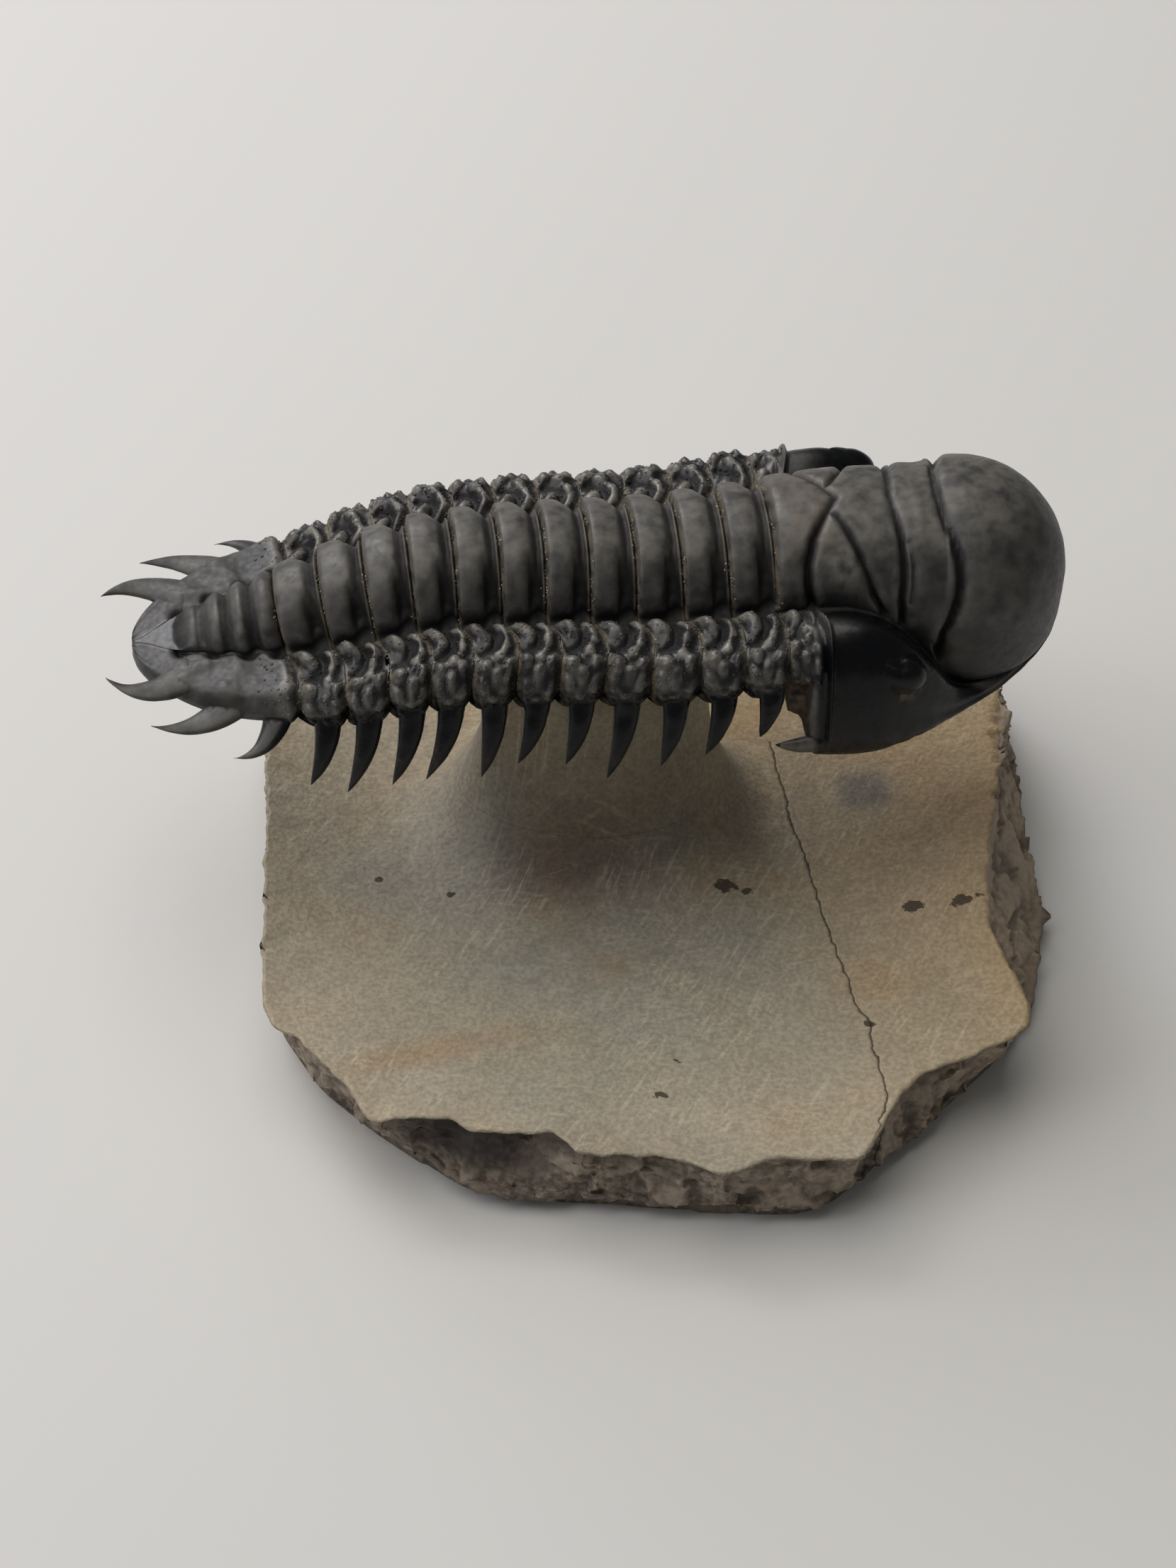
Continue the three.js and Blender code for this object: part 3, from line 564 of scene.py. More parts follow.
def head_axis():
    half_turn = np.concatenate([np.linspace(0, 112, 86), np.linspace(117, 180, 10)])
    degrees = np.concatenate([half_turn, half_turn[1:-1][::-1]])
    side = np.concatenate([np.ones(len(half_turn)), -np.ones(len(half_turn) - 2)])
    turn = np.radians(degrees)
    up = np.cos(turn)
    neck_x = np.linspace(THORAX_FRONT_X, BALL_FROM_X, 118)
    ball_start = math.degrees(math.asin((BALL_FROM_X - BALL_X) / BALL_RADIUS))
    ball_x = BALL_X + BALL_RADIUS * np.sin(np.radians(np.linspace(ball_start + 0.8, 88, 60)))
    rows = []
    for x in np.concatenate([neck_x, ball_x]):
        ball = fade(BALL_FROM_X - 2.5, BALL_FROM_X + 0.5, x)
        sphere = math.sqrt(max(BALL_RADIUS ** 2 - (x - BALL_X) ** 2, 0))
        half, rise = (sphere,) * 2 if x > BALL_FROM_X else (axis_half_width(x), axis_rise(x))
        level = BALL_Z * ball + furrow_level(min(x, BALL_X)) * (1 - ball)
        under = COLLAR_UNDER_Z if x < COLLAR_FRONT_X else head_under_z(x) + 0.6
        keel = (level - under) * (1 - ball) + KEEL_DEPTH * ball
        if x > BALL_X:
            keel *= (sphere / BALL_RADIUS) ** 0.4
        cut = furrow_cut(x, degrees) + neck_drop(x) * (up > -0.1)
        below = 1 - 0.62 * ball
        across = np.where(up > 0, np.sin(turn), np.sin(turn) ** below)
        height = np.where(up > 0, (rise - cut) * up, -keel * np.abs(up) ** below)
        rows.append(np.stack([np.full(turn.shape, x), side * (half - cut) * across,
                              level + height], 1))
    return skin("armour_head_shield", rows)


head = head_axis()
print("head axis triangles:", triangles(head))

# %% [markdown]
# ## The head shield: cheeks, eyes and cheek spines
# The cheeks are smooth shelves that fall steeply to the margin and run round under the ball as
# a narrow rim. Behind each cheek a border ridge carries knobs like those of the side lobes.
# A small eye stands on the slope, and a short spine points back from each corner.


# %% Cheeks
FAR_FURROW_X, NEAR_FURROW_X = 17.5, 17.95
COLLAR_LENGTH = 2.9


def smooth_chain(points, count):
    points = np.array(points, dtype=float)
    run = np.concatenate([[0], np.cumsum(np.hypot(*np.diff(points, axis=0).T))])
    run /= run[-1]
    at = np.linspace(0, 1, count)
    return np.stack([through(np.stack([run, points[:, k]], 1))(at) for k in (0, 1)], 1)


def half_cheek(x, furrow_x):
    margin, shelf, under = head_half_width(x), cheek_shelf_z(x), head_under_z(x)
    inner = min(axis_half_width(x) + 0.4, 0.8 * margin)
    across, drop = margin - inner, shelf - under
    half = smooth_chain([
        (0, shelf - 1), (0.9 * inner, shelf - 0.9), (inner + 0.08 * across, shelf - 0.45),
        (inner + 0.42 * across, shelf + 0.03 * drop), (inner + 0.72 * across, shelf - 0.16 * drop),
        (inner + 0.88 * across, under + 0.56 * drop), (margin - 0.35, under + 0.34 * drop),
        (margin, under + 0.1 * drop), (margin - 0.3, under + 0.01), (0.5 * margin, under),
        (0, under)], 80)
    outwards = np.gradient(half, axis=0) @ np.array([[0, -1], [1, 0]])
    outwards /= np.hypot(*outwards.T)[:, None]
    away = x - furrow_x - 0.8 * fade(inner, inner + 0.5 * across, half[:, 0])
    border = 0.16 * np.exp(-((away + 0.7) / 0.35) ** 2) - 0.85 * np.exp(-(away / 0.22) ** 2)
    upper = fade(under + 0.05 * drop, under + 0.3 * drop, half[:, 1])
    upper *= fade(inner, inner + 0.9, half[:, 0])
    return half + outwards * (border * upper)[:, None]


def cheek_row(x):
    far, near = half_cheek(x, FAR_FURROW_X), half_cheek(x, NEAR_FURROW_X)[1:-1][::-1]
    return np.stack([np.full(len(far) + len(near), x), np.concatenate([far[:, 0], -near[:, 0]]),
                     np.concatenate([far[:, 1], near[:, 1]])], 1)


def cheeks():
    stations = np.concatenate([np.linspace(15.25, 20, 62), np.linspace(20.3, 43.5, 92)])
    return skin("cheeks", [cheek_row(x) for x in stations])


def neck_collar():
    far, near = own_knobs(), own_knobs()
    rows = []
    for at in np.linspace(0, 1, 30):
        x = THORAX_FRONT_X + COLLAR_LENGTH * at
        lobe = body_half_width(x) - axis_half_width(x)
        place = 0.02 + 0.85 * at
        rows.append(body_row(x, (1.9, 1.9), lobe_relief(place, 3.9, lobe, far),
                             lobe_relief(place, 3.9, lobe, near), 0.9 - 0.3 * at))
    return skin("neck_collar", rows)


# %% Eyes and cheek spines
EYE_PLACES = [(24.8, 12.3, 38.6), (25.6, -13.7, 36.6)]


def egg(name, centre, size, tilt):
    round_it = np.linspace(0, 2 * math.pi, 32, endpoint=False)
    rows = []
    for p in np.radians(np.linspace(4, 176, 24)):
        x = 0.5 * size[0] * math.cos(p) + 0 * round_it
        y = 0.5 * size[1] * math.sin(p) * np.cos(round_it)
        z = 0.5 * size[2] * math.sin(p) * np.sin(round_it)
        rows.append(np.stack([
            centre[0] + x * math.cos(tilt) - z * math.sin(tilt), centre[1] + y,
            centre[2] + x * math.sin(tilt) + z * math.cos(tilt)], 1))
    return skin(name, rows)


def eyes():
    parts = []
    for x, y, z in EYE_PLACES:
        parts.append(egg("eye", (x, y, z), (5.2, 3.5, 4.2), -0.3))
        parts.append(egg("eye_lid", (x - 0.1, 0.975 * y, z + 1.5), (5.0, 2.8, 1.1), -0.4))
    return parts


def cheek_spines():
    return [spine("cheek_spine", (19.5, side * 15.6, 30.6), (17, side * 16.3, 30.1),
                  (13.9, side * 16.2, 30.6), 2.1, 1.6, (0, 0, 1), 2.8, 0.25) for side in (1, -1)]


head = fuse(head, [neck_collar(), cheeks()] + eyes() + cheek_spines())
print("head shield triangles:", triangles(head))

# %% [markdown]
# ## Grain of the armour
# The calcite isn't moulded: the rings are faintly granular, the side lobes are lumpy where the
# tool followed the fossil, and the cheeks are smooth. We push the points along their normals by
# a fixed noise, more on the side lobes than elsewhere, and leave the joints alone.


# %% Lumps in the surface
def lumps(points, size, shift):
    offset = Vector((shift, 0.37 * shift, -0.71 * shift))
    return np.array([noise.noise(Vector(p) / size + offset) for p in points])


def on_side_lobe(points):
    beside = np.abs(points[:, 1]) - axis_half_width(points[:, 0])
    return fade(0.2, 1.2, beside) * (1 - fade(15.4, 18.5, points[:, 0]))


def roughen(piece, seed):
    mesh = piece.data
    points, normals = places(mesh), facings(mesh)
    lobes = on_side_lobe(points)
    above = fade(BELLY_Z - 3, BELLY_Z + 0.6, points[:, 2])
    push = (0.015 + 0.04 * lobes * above) * lumps(points, 0.6, seed)
    push += (0.035 + 0.08 * lobes * above) * lumps(points, 1.5, seed + 9)
    inner = np.abs(normals[:, 0]) < 0.985
    move_points(mesh, points + normals * (push * inner - 0.03)[:, None])


plates = [head, tail] + segments
for number, piece in enumerate(plates):
    roughen(piece, 3.0 * number)
print("roughened", len(plates), "plates")

# %% [markdown]
# ## Marks for the finish
# Where pale matrix stays in a furrow, where the wax makes the calcite glossy and where handling
# has rubbed it grey is a matter of place on the fossil, and so is the painted light: shade in the
# hollows, on the ring flanks and spines, on the lobe margins and under the ball, and highlights on
# the tops. We store each as an attribute on the points, and the material reads them all.

# %% Attributes on the armour
def mark(piece, name, values, lowest=0, highest=1):
    layer = piece.data.attributes.new(name, "FLOAT", "POINT")
    layer.data.foreach_set("value", np.clip(values, lowest, highest).astype(np.float32))


# how far each point lies below its smoothed neighbourhood, in mm
def hollow_depth(piece, rounds):
    mesh = piece.data
    points, count = places(mesh), len(mesh.vertices)
    ends = np.empty(len(mesh.edges) * 2, dtype=np.int32)
    mesh.edges.foreach_get("vertices", ends)
    a, b = ends[0::2], ends[1::2]
    neighbours = np.maximum(np.bincount(ends, minlength=count), 1)[:, None]
    smooth = points
    for _ in range(rounds):
        smooth = np.stack([np.bincount(a, smooth[b, k], count) + np.bincount(b, smooth[a, k], count)
                           for k in range(3)], 1) / neighbours
    return ((smooth - points) * facings(mesh)).sum(1)


def joint_nearness(points, reach):
    x, y, z = points.T
    half = axis_half_width(x)
    share = (np.abs(y) - half) / (body_half_width(x) - half)
    crest = furrow_level(x) + axis_rise(x)
    upright = x - lean(x) * (crest - z) - joint_sweep(share, x)
    joints = [segment_span(index)[0] for index in range(SEGMENTS)] + [THORAX_FRONT_X]
    return np.max([np.exp(-((upright - joint) / reach) ** 2) for joint in joints], axis=0)


for piece in plates:
    points = places(piece.data)
    x, y, z = points.T
    half, furrow = axis_half_width(x), furrow_level(x)
    beside, below = np.abs(y) - half, z - furrow + margin_drop(x)
    share = beside / (body_half_width(x) - half)
    upwards, depth = facings(piece.data)[:, 2], hollow_depth(piece, 24)

    # wax on the side lobes, cheeks and hanging spines, and painted shade: the lower ring flanks,
    # the hanging spines, the outer margins of the side lobes and the underside of the ball are
    # painted darker
    lobes = on_side_lobe(points) * fade(-33, -30, x)
    cheek = fade(17.3, 18.2, x) * fade(0, 0.8, beside) * (1 - fade(34, 37, z - 0.3 * x))
    # the hanging spines: waxed, and painted darker as shade
    spines = (1 - fade(-0.8, 0.4, below)) * (x < THORAX_FRONT_X) * fade(-36, -31, x)
    # painted shade: the lower flanks of the rings are painted darker
    down = 1 - (z - furrow) / np.maximum(axis_rise(x), 1.5)
    ring_flank_shade = 0.75 * fade(0.3, 0.85, down) * (beside < 0.3) * (x < 22)
    # painted shade: points of the ball that face down are painted darker
    under_ball_shade = 0.75 * fade(30, 32, x) * (1 - fade(-0.35, 0.35, upwards))
    # painted shade: the outer, down-turned part of each side lobe is painted darker
    outer_lobe_shade = 0.45 * lobes * fade(0.5, 0.9, share)

    # matrix and stains: behind the cheeks, where the brown matrix is painted darker as shade, round
    # the near eye, in the joints, on neck and tips
    wedge = (1 - fade(16.8, 17.1, x)) * fade(14.3, 14.5, x) * (1 - fade(36.8, 37.8, z))
    wedge *= np.abs(y) < 15.4
    eye_rim = np.exp(-((np.hypot(x - 26.6, z - 36.9) - 2.2) / 0.5) ** 2) * (y < -13.8) * (x > 25.5)
    joints = joint_nearness(points, 0.25) * (1 - fade(2, 9, BELLY_Z - z + 2))
    neck = fade(THORAX_FRONT_X, 15.4, x) * (1 - fade(18.5, 21, x)) * fade(44.2, 46.2, z)
    tips = (1 - fade(-7.5, -4.5, below)) * (np.abs(y) > 12)

    # wear and painted highlight: faces that look up are painted lighter as lit tops, and every
    # knob's top is rubbed grey and painted lighter as a highlight; the broad tail only a little
    in_tail = piece == tail
    least = 0.07 if in_tail else 0.02
    first_lobe = np.exp(-((x - 20.9) ** 2 + (np.abs(y) - 6.6) ** 2 + (z - 44.2) ** 2) / 4.0)
    lit = (0.05 if in_tail else 0.5) * fade(0.6, 0.95, upwards)
    lit_tops = np.maximum(lit, 1.1 * first_lobe) * (1 - lobes)
    wear_and_highlight = np.maximum(fade(0.015, 0.12, -depth) * (0.3 + 0.7 * lobes), lit_tops)
    for name, values in (
            ("wax_and_flank_shade", np.maximum.reduce([0.85 * lobes, cheek, spines, ring_flank_shade])),
            ("jet_and_shade", np.maximum.reduce([outer_lobe_shade, cheek, spines, under_ball_shade])),
            ("matrix", np.maximum.reduce([joints, wedge, eye_rim])),
            ("wedge", wedge),
            ("tan", 0.8 * neck + 0.25 * tips),
            # painted shade: furrows and other hollows are darkened
            ("hollow_shade", fade(least, least + 0.14, depth)),
            ("wear_and_highlight", wear_and_highlight * (1 - cheek) * (1 - spines))):
        mark(piece, name, values)

print("hollow depth in the last segment, middle and top tenth:",
      np.percentile(depth, (50, 90)).round(3))

# %% [markdown]
# ## Grains and crumbs by Geometry Nodes
# Fine granules dot the side lobes, and crumbs of matrix stay in the joints. One tree scatters
# points over a surface, denser where an attribute is high and never closer than a set gap, and
# sets a small flattened ball on each. The material is an input, so the same tree serves both.


# %% The grain tree
def grain_tree():
    tree, given, add = new_tree(
        "Grains on a surface", Geometry=("Geometry",), String=("Where",),
        Float=("Per Square Metre", "Gap", "Smallest", "Largest"), Int=("Seed",),
        Material=("Material",))
    weight = add("GeometryNodeInputNamedAttribute", {"Name": given["Where"]}, data_type="FLOAT")
    spots = add("GeometryNodeDistributePointsOnFaces", {
        "Mesh": given["Geometry"], "Distance Min": given["Gap"],
        "Density Max": given["Per Square Metre"], "Density Factor": weight,
        "Seed": given["Seed"]}, distribute_method="POISSON")
    ball = add("GeometryNodeMeshIcoSphere", {"Radius": 1.0, "Subdivisions": 2})
    size = add("FunctionNodeRandomValue", {
        2: given["Smallest"], 3: given["Largest"], "Seed": given["Seed"]}, data_type="FLOAT")
    low = add(MATH, {0: size, 1: 0.6}, operation="MULTIPLY")
    scale = add("ShaderNodeCombineXYZ", {0: size, 1: size, 2: low})
    set_out = add("GeometryNodeInstanceOnPoints", {
        "Points": spots, "Instance": ball, "Rotation": spots.outputs["Rotation"], "Scale": scale})
    smooth = add("GeometryNodeSetShadeSmooth", {"Geometry": set_out})
    end_tree(tree, smooth, given["Material"])
    return tree


GRAINS = grain_tree()
print("grain tree:", len(GRAINS.nodes), "nodes")

# %% [markdown]
# ## The stone
# The stone is one piece: pillar, dished upper surface and rough slab. Rows of points run round
# the pillar, down it, out over the dish to the rim, over the broken face and in under the foot.
# The rim follows the scoops that broke out of the front edge.

# %% Outlines of the stone
RIM = [(-31.8, 13), (-32.5, 6), (-32.9, -5), (-34.2, -16), (-34.9, -26.9), (-34, -29.9),
       (-32, -30.5), (-29.9, -34), (-27.6, -36.6), (-26.4, -40.2), (-25.2, -41.5), (-23.7, -40.8),
       (-21, -41.3), (-18.4, -41.0), (-16.6, -42.6), (-13.7, -43.2), (-9.4, -43.4), (-8.2, -44.6),
       (-7.2, -46.3), (-4.5, -46.6), (0.4, -46.9), (3.4, -48.2), (5.6, -49.7), (7.8, -49.4),
       (10.1, -48.6), (14.6, -48.4), (18.9, -49.2), (20.5, -47.2), (22.3, -44.1), (24.2, -41.5),
       (26.8, -39.6), (31.3, -38), (35.4, -36.3), (37.4, -34.8), (38.2, -32.5), (36.8, -27),
       (35.9, -21.4), (36.8, -16), (38.2, -10.5), (40.2, -5), (42.2, 1), (43.4, 6.6), (43.6, 11),
       (43.2, 16), (40.5, 20), (37, 22.3), (26, 24.4), (4, 23.3), (-15, 24.4), (-26.5, 20.4)]
SLAB = [(-33.2, 13.5), (-33.6, 4), (-34.7, -23), (-31, -31), (-26.2, -36.6), (-19.6, -43),
        (-17.6, -44.8), (-9, -46.9), (2.4, -48.7), (15.3, -50.3), (18.2, -48.6), (26.3, -42.6),
        (32.6, -37), (38, -32.2), (40.4, -28), (43.2, -20), (44.7, -13.7), (45.0, -4), (46.2, 8.6),
        (45.6, 17.3), (39.3, 24.2), (28, 26.6), (5, 25.2), (-15.5, 26.5), (-28, 22)]
STONE_MIDDLE = np.array((0.0, -1.0))
BEARINGS = np.linspace(0, 2 * math.pi, 620, endpoint=False)
HEADING = np.stack([np.cos(BEARINGS), np.sin(BEARINGS)], 1)


def reach_to(outline):
    corners = np.array(outline) - STONE_MIDDLE
    best = np.full(len(BEARINGS), 1e9)
    for start, end in zip(corners, np.roll(corners, -1, axis=0)):
        edge = end - start
        turn = HEADING[:, 0] * edge[1] - HEADING[:, 1] * edge[0]
        share = (start[0] * HEADING[:, 1] - start[1] * HEADING[:, 0]) / turn
        reach = (start[0] * edge[1] - start[1] * edge[0]) / turn
        best = np.where((share >= 0) & (share <= 1) & (reach > 0), np.minimum(best, reach), best)
    return best


def soften(values, reach):
    kernel = np.exp(-(np.arange(-9, 10) / reach) ** 2)
    wrapped = np.concatenate([values[-9:], values, values[:9]])
    return np.convolve(wrapped, kernel / kernel.sum(), mode="valid")


rim_reach = soften(reach_to(RIM), 1.1)
slab_reach = soften(reach_to(SLAB), 4)
print("rim reaches", rim_reach.min().round(1), "to", rim_reach.max().round(1), "mm from the middle")

# %% Rows of the stone
RIM_Z, DISH_Z, SLAB_Z = 9.6, 7.2, 2.4
MEAN_RIM, FOOT_WIDTH, FOOT_TUCK = 30, 5.8, 2.2
# bearing of the middle in degrees, half its width and depth
SCOOPS = [(236, 9, 1.3), (251, 9, 1.7), (271, 9, 1.5), (292, 8, 1.5), (306, 6, 0.8), (322, 9, 0.8)]
pillar_swell = through([(8.0, 5.8), (9.8, 3.2), (13.5, 0.9), (20, -1.0), (28, -1.2), (34.8, 0)])


def scoop_depth():
    degrees = np.degrees(BEARINGS)
    depths = [depth * np.clip(1 - ((degrees - middle) / half) ** 2, 0, 1)
              for middle, half, depth in SCOOPS]
    return np.max(depths, axis=0)


def pillar_reach():
    along = np.where(HEADING[:, 0] < 0, 12.4, 11.6)
    across = np.where(HEADING[:, 1] < 0, 7.4, 8.0)
    return 1 / np.hypot(HEADING[:, 0] / along, HEADING[:, 1] / across)


def stone_row(reach, z):
    flat = STONE_MIDDLE + HEADING * np.asarray(reach)[:, None]
    return np.column_stack([flat, np.broadcast_to(z, len(flat))])


def round_grain(size, shift):
    ring = np.column_stack([HEADING * MEAN_RIM / size, np.full(len(HEADING), shift)])
    return np.array([noise.noise(Vector(p)) for p in ring])


def matrix_stone():
    scoop = scoop_depth()
    pillar = pillar_reach()
    foot = pillar + FOOT_WIDTH
    ragged = 0.4 * round_grain(2.6, 4.0) + 0.3 * round_grain(0.9, 9.0)
    rim = rim_reach + ragged - 0.2
    rim_z = RIM_Z + 0.4 * np.cos(2 * BEARINGS) - 0.2 * scoop
    slab = np.maximum(slab_reach - 0.35, rim + 0.15) + 0.25 * round_grain(4.0, 1.0)
    slab = np.minimum(slab, slab_reach - 0.1)
    rows = [stone_row(pillar + pillar_swell(z), z) for z in np.linspace(35.1, 8.0, 44)]
    for share in np.linspace(0, 1, 52)[1:-1]:
        rows.append(stone_row(foot + share * (rim - foot), DISH_Z + 0.8 * (1 - share) ** 6
                              + (rim_z - DISH_Z) * share ** 2))
    rows.append(stone_row(rim, rim_z))
    smooth_rows = len(rows)
    for share in np.linspace(0, 1, 31)[1:]:
        rows.append(stone_row(rim + (slab - rim) * share ** (0.8 + 0.9 * scoop),
                              rim_z + (SLAB_Z - rim_z) * share))
    for share in (0.3, 0.6, 0.85, 1.0):
        rows.append(stone_row(slab - FOOT_TUCK * share ** 1.6, SLAB_Z * (1 - share)))
    piece = skin("limestone_pillar_and_slab", rows)
    row = np.arange(len(piece.data.vertices)) // len(BEARINGS) - smooth_rows
    wall = row < len(rows) - smooth_rows - 1
    return piece, np.clip(0.16 * (row + 1), 0, 1) * wall, row >= 0


stone, broken_rows, rock_rows = matrix_stone()
print("stone triangles:", triangles(stone))

# %% [markdown]
# ## Broken faces by Geometry Nodes
# Fine limestone breaks into small flat faces with sharp edges. A Voronoi pattern gives each
# cell a tilt of its own, which makes such facets, and a little noise roughens them. The tree
# moves points inwards only, and only where the attribute says that the stone is broken.


# %% Where the stone is broken
def bearing_of(points):
    away = points[:, :2] - STONE_MIDDLE
    return np.mod(np.arctan2(away[:, 1], away[:, 0]), 2 * math.pi)


def broken_share(points):
    x, y, z = points.T
    rim_here = np.interp(bearing_of(points), np.append(BEARINGS, 2 * math.pi),
                         np.append(rim_reach, rim_reach[0]))
    out = np.hypot(x, y - STONE_MIDDLE[1]) - rim_here
    ragged = lumps(points, 1.2, 5.0)
    chips = fade(-0.2, 0.1, out + 0.8 * ragged - 0.5)
    right_edge = fade(-0.4, 0.5, x - 40.9 - 0.12 * y + 1.6 * ragged)
    right_edge *= fade(-24, -18, y) * (1 - fade(17, 23, y)) * (z < 14)
    return np.maximum.reduce([broken_rows, 0.55 * chips * (z > 6), 0.7 * right_edge])


def rock_tree():
    tree, given, add = new_tree(
        "Broken rock", Geometry=("Geometry",), Float=("Facet", "Depth", "Grain", "Grain Depth"))
    where = add("GeometryNodeInputNamedAttribute", {"Name": "broken"}, data_type="FLOAT")
    position = add("GeometryNodeInputPosition")
    facet_scale = add(MATH, {0: 1.0, 1: given["Facet"]}, operation="DIVIDE")
    cells = add("ShaderNodeTexVoronoi", {
        "Vector": position, "Scale": facet_scale, "Randomness": 1.0}, feature="F1").outputs
    spread = add("ShaderNodeVectorMath", {0: position, 1: cells["Position"]},
                 operation="SUBTRACT")
    tilt = add("ShaderNodeVectorMath", {0: cells["Color"], 1: (0.5, 0.5, 0.5)},
               operation="SUBTRACT")
    slope = add("ShaderNodeVectorMath", {0: spread, 1: tilt}, operation="DOT_PRODUCT")
    slope = add(MATH, {0: slope, 1: facet_scale}, operation="MULTIPLY")
    step = add(MATH, {0: add(MATH, {0: slope, 1: 0.9}, operation="MULTIPLY"), 1: 0.5})
    facets = add(MATH, {0: step, 1: given["Depth"]}, operation="MULTIPLY")
    grain_scale = add(MATH, {0: 1.0, 1: given["Grain"]}, operation="DIVIDE")
    fine = add("ShaderNodeTexNoise", {"Vector": position, "Scale": grain_scale, "Detail": 3.0})
    grit = add(MATH, {0: fine, 1: given["Grain Depth"]}, operation="MULTIPLY")
    inwards = add(MATH, {0: add(MATH, {0: facets, 1: grit}), 1: -1.0}, operation="MULTIPLY")
    amount = add(MATH, {0: inwards, 1: where}, operation="MULTIPLY")
    offset = add("ShaderNodeVectorMath", {0: add("GeometryNodeInputNormal"), "Scale": amount},
                 operation="SCALE")
    end_tree(tree, add("GeometryNodeSetPosition", {
        "Geometry": given["Geometry"], "Offset": offset}))
    return tree


def tool_marks(piece):
    points, normals = places(piece.data), facings(piece.data)
    push = 0.07 * lumps(points, 3.1, 2.0) + 0.025 * lumps(points, 0.9, 6.0)
    push *= points[:, 2] > 6
    move_points(piece.data, points + normals * push[:, None])


points = places(stone.data)
broken = broken_share(points)
mark(stone, "broken", broken)
torn_edge = (broken > 0.4) * (broken_rows == 0) * (points[:, 0] > 38)
mark(stone, "rock", np.maximum(rock_rows, torn_edge))
tool_marks(stone)
ROCK = rock_tree()
for facet, depth, grain in ((4.2, 1.6, 2.0), (1.5, 0.7, 0.6)):
    run_tree(stone, ROCK, {"Facet": facet * MM, "Depth": depth * MM, "Grain": grain * MM,
                           "Grain Depth": 0.3 * MM})
print("stone after breaking:", triangles(stone), "triangles")

# %% [markdown]
# ## Marks on the stone
# The tooled face is grey in the middle, where fresh rock shows, and warm tan towards the weathered
# edges. A hair crack crosses it, a few dark spots lie on it and the pillar's foot is reddish. The
# pillar's flanks and the dish's left and front are painted lighter as light, and the pillar's front
# and the ground round its foot painted darker as shade.
# The crack is stored as a signed distance to its line: that value changes evenly over a face, so
# the material can draw a line much finer than the mesh.

# %% Colour fields of the stone
CRACK = [(18.6, 6), (18.8, 1.4), (19.2, -5.5), (19.8, -10.8), (20.2, -15.6), (20.7, -21.2),
         (21.3, -25.9), (21.5, -29.5), (22.5, -32.1), (22.2, -34.7), (22.4, -38.5), (22.4, -42.2),
         (21.4, -44.2)]
CRACK_REACH = 3
SPOTS = [(11.2, -13.3, 1.0), (13.2, -14.1, 0.6), (-15.5, -12.3, 0.45), (-22.1, -9.8, 0.4),
         (1.5, -39.0, 0.55), (3.8, -34.6, 0.4), (0.9, -39.5, 0.4), (29.2, -17.9, 0.9),
         (33.6, -18.4, 1.0), (35.6, -18.0, 0.5), (22.4, -32.2, 0.55), (-12.7, -44, 0.3)]
points = places(stone.data)
x, y, z = points.T


# soft oval patches, each with strength, place, reach and turn
def blobs(*patches):
    found = []
    for strength, at_x, at_y, reach_x, reach_y, turn in patches:
        dx, dy = x - at_x, y - at_y
        along = dx * math.cos(turn) + dy * math.sin(turn)
        across = dy * math.cos(turn) - dx * math.sin(turn)
        found.append(strength * np.exp(-(along / reach_x) ** 2 - (across / reach_y) ** 2))
    return np.array(found)


drift, mottle = lumps(points, 9.0, 3.0), lumps(points, 2.6, 8.0)
grey = blobs((1, 0, -24, 17, 13, 0), (1, -16, -12, 12, 8, 0), (0.8, -6, -36, 14, 7, 0),
             (0.8, 27.2, -1.6, 3, 3, 0)).max(0)
right = fade(2, 34, x + 0.3 * y)
mark(stone, "warm", (0.45 + 0.55 * right) * (1 - 0.9 * grey) + 0.22 * drift + 0.08 * mottle)
rust = blobs((1, -21, -32.5, 8, 1.6, 0.25), (0.5, 4, -1, 4, 3, 0)).max(0)
mark(stone, "rust", 0.6 * rust + 0.18 * fade(0.25, 0.6, drift + 0.3 * mottle))
foot = blobs((1, -3.5, -11.5, 8, 3.6, 0))[0] * (z < 16) * (z > 6.5)
plum = fade(24, 31, z + 2 * mottle) * np.exp(-((x + 1) / 8) ** 2)
mark(stone, "red", foot + 0.9 * plum)
# painted shade: the pillar's front face is painted darker
pillar_front_shade = fade(-11.4, -10.4, x + 0.4 * mottle) * (1 - fade(7, 10.5, x + mottle))
pillar_front_shade *= fade(8.2, 9.5, z) * (y < -4)
patch = np.exp(-((x - 27) / 2.5) ** 6 - ((y + 1.8) / 2.3) ** 6)
# olive grey painted shadow where the animal's shadow falls round the pillar's foot
olive_and_shadow = blobs((0.3, -18, -10.5, 7, 3.6, 0), (0.5, 16, -9, 6, 3.5, 0), (0.4, -2, -20, 14, 5, 0))
# shade: a real dark grey patch at the right, with the painted shadow and the pillar front's painted
# shade
mark(stone, "shade", (0.9 * patch + 0.7 * olive_and_shadow.sum(0)) * (z < 11) + 0.45 * pillar_front_shade)
# painted light: the pillar's lit flanks and the left and front of the dish are painted paler
lit_flanks = blobs((1, -15, -7, 4.5, 7, 0), (0.7, 13.5, -3, 3, 6, 0)).sum(0)
mark(stone, "painted_light", 1.3 * lit_flanks * (z > 7.2)
     + blobs((0.5, 12, -40, 22, 12, 0), (0.6, -24, -22, 12, 16, 0)).sum(0))
spots = blobs(*((1, at_x, at_y, 1.1 * reach, 0.75 * reach, 0) for at_x, at_y, reach in SPOTS))
spots = spots.max(0) * (z < 12)
mark(stone, "spot", 1.3 * spots + 0.2 * mottle * spots)
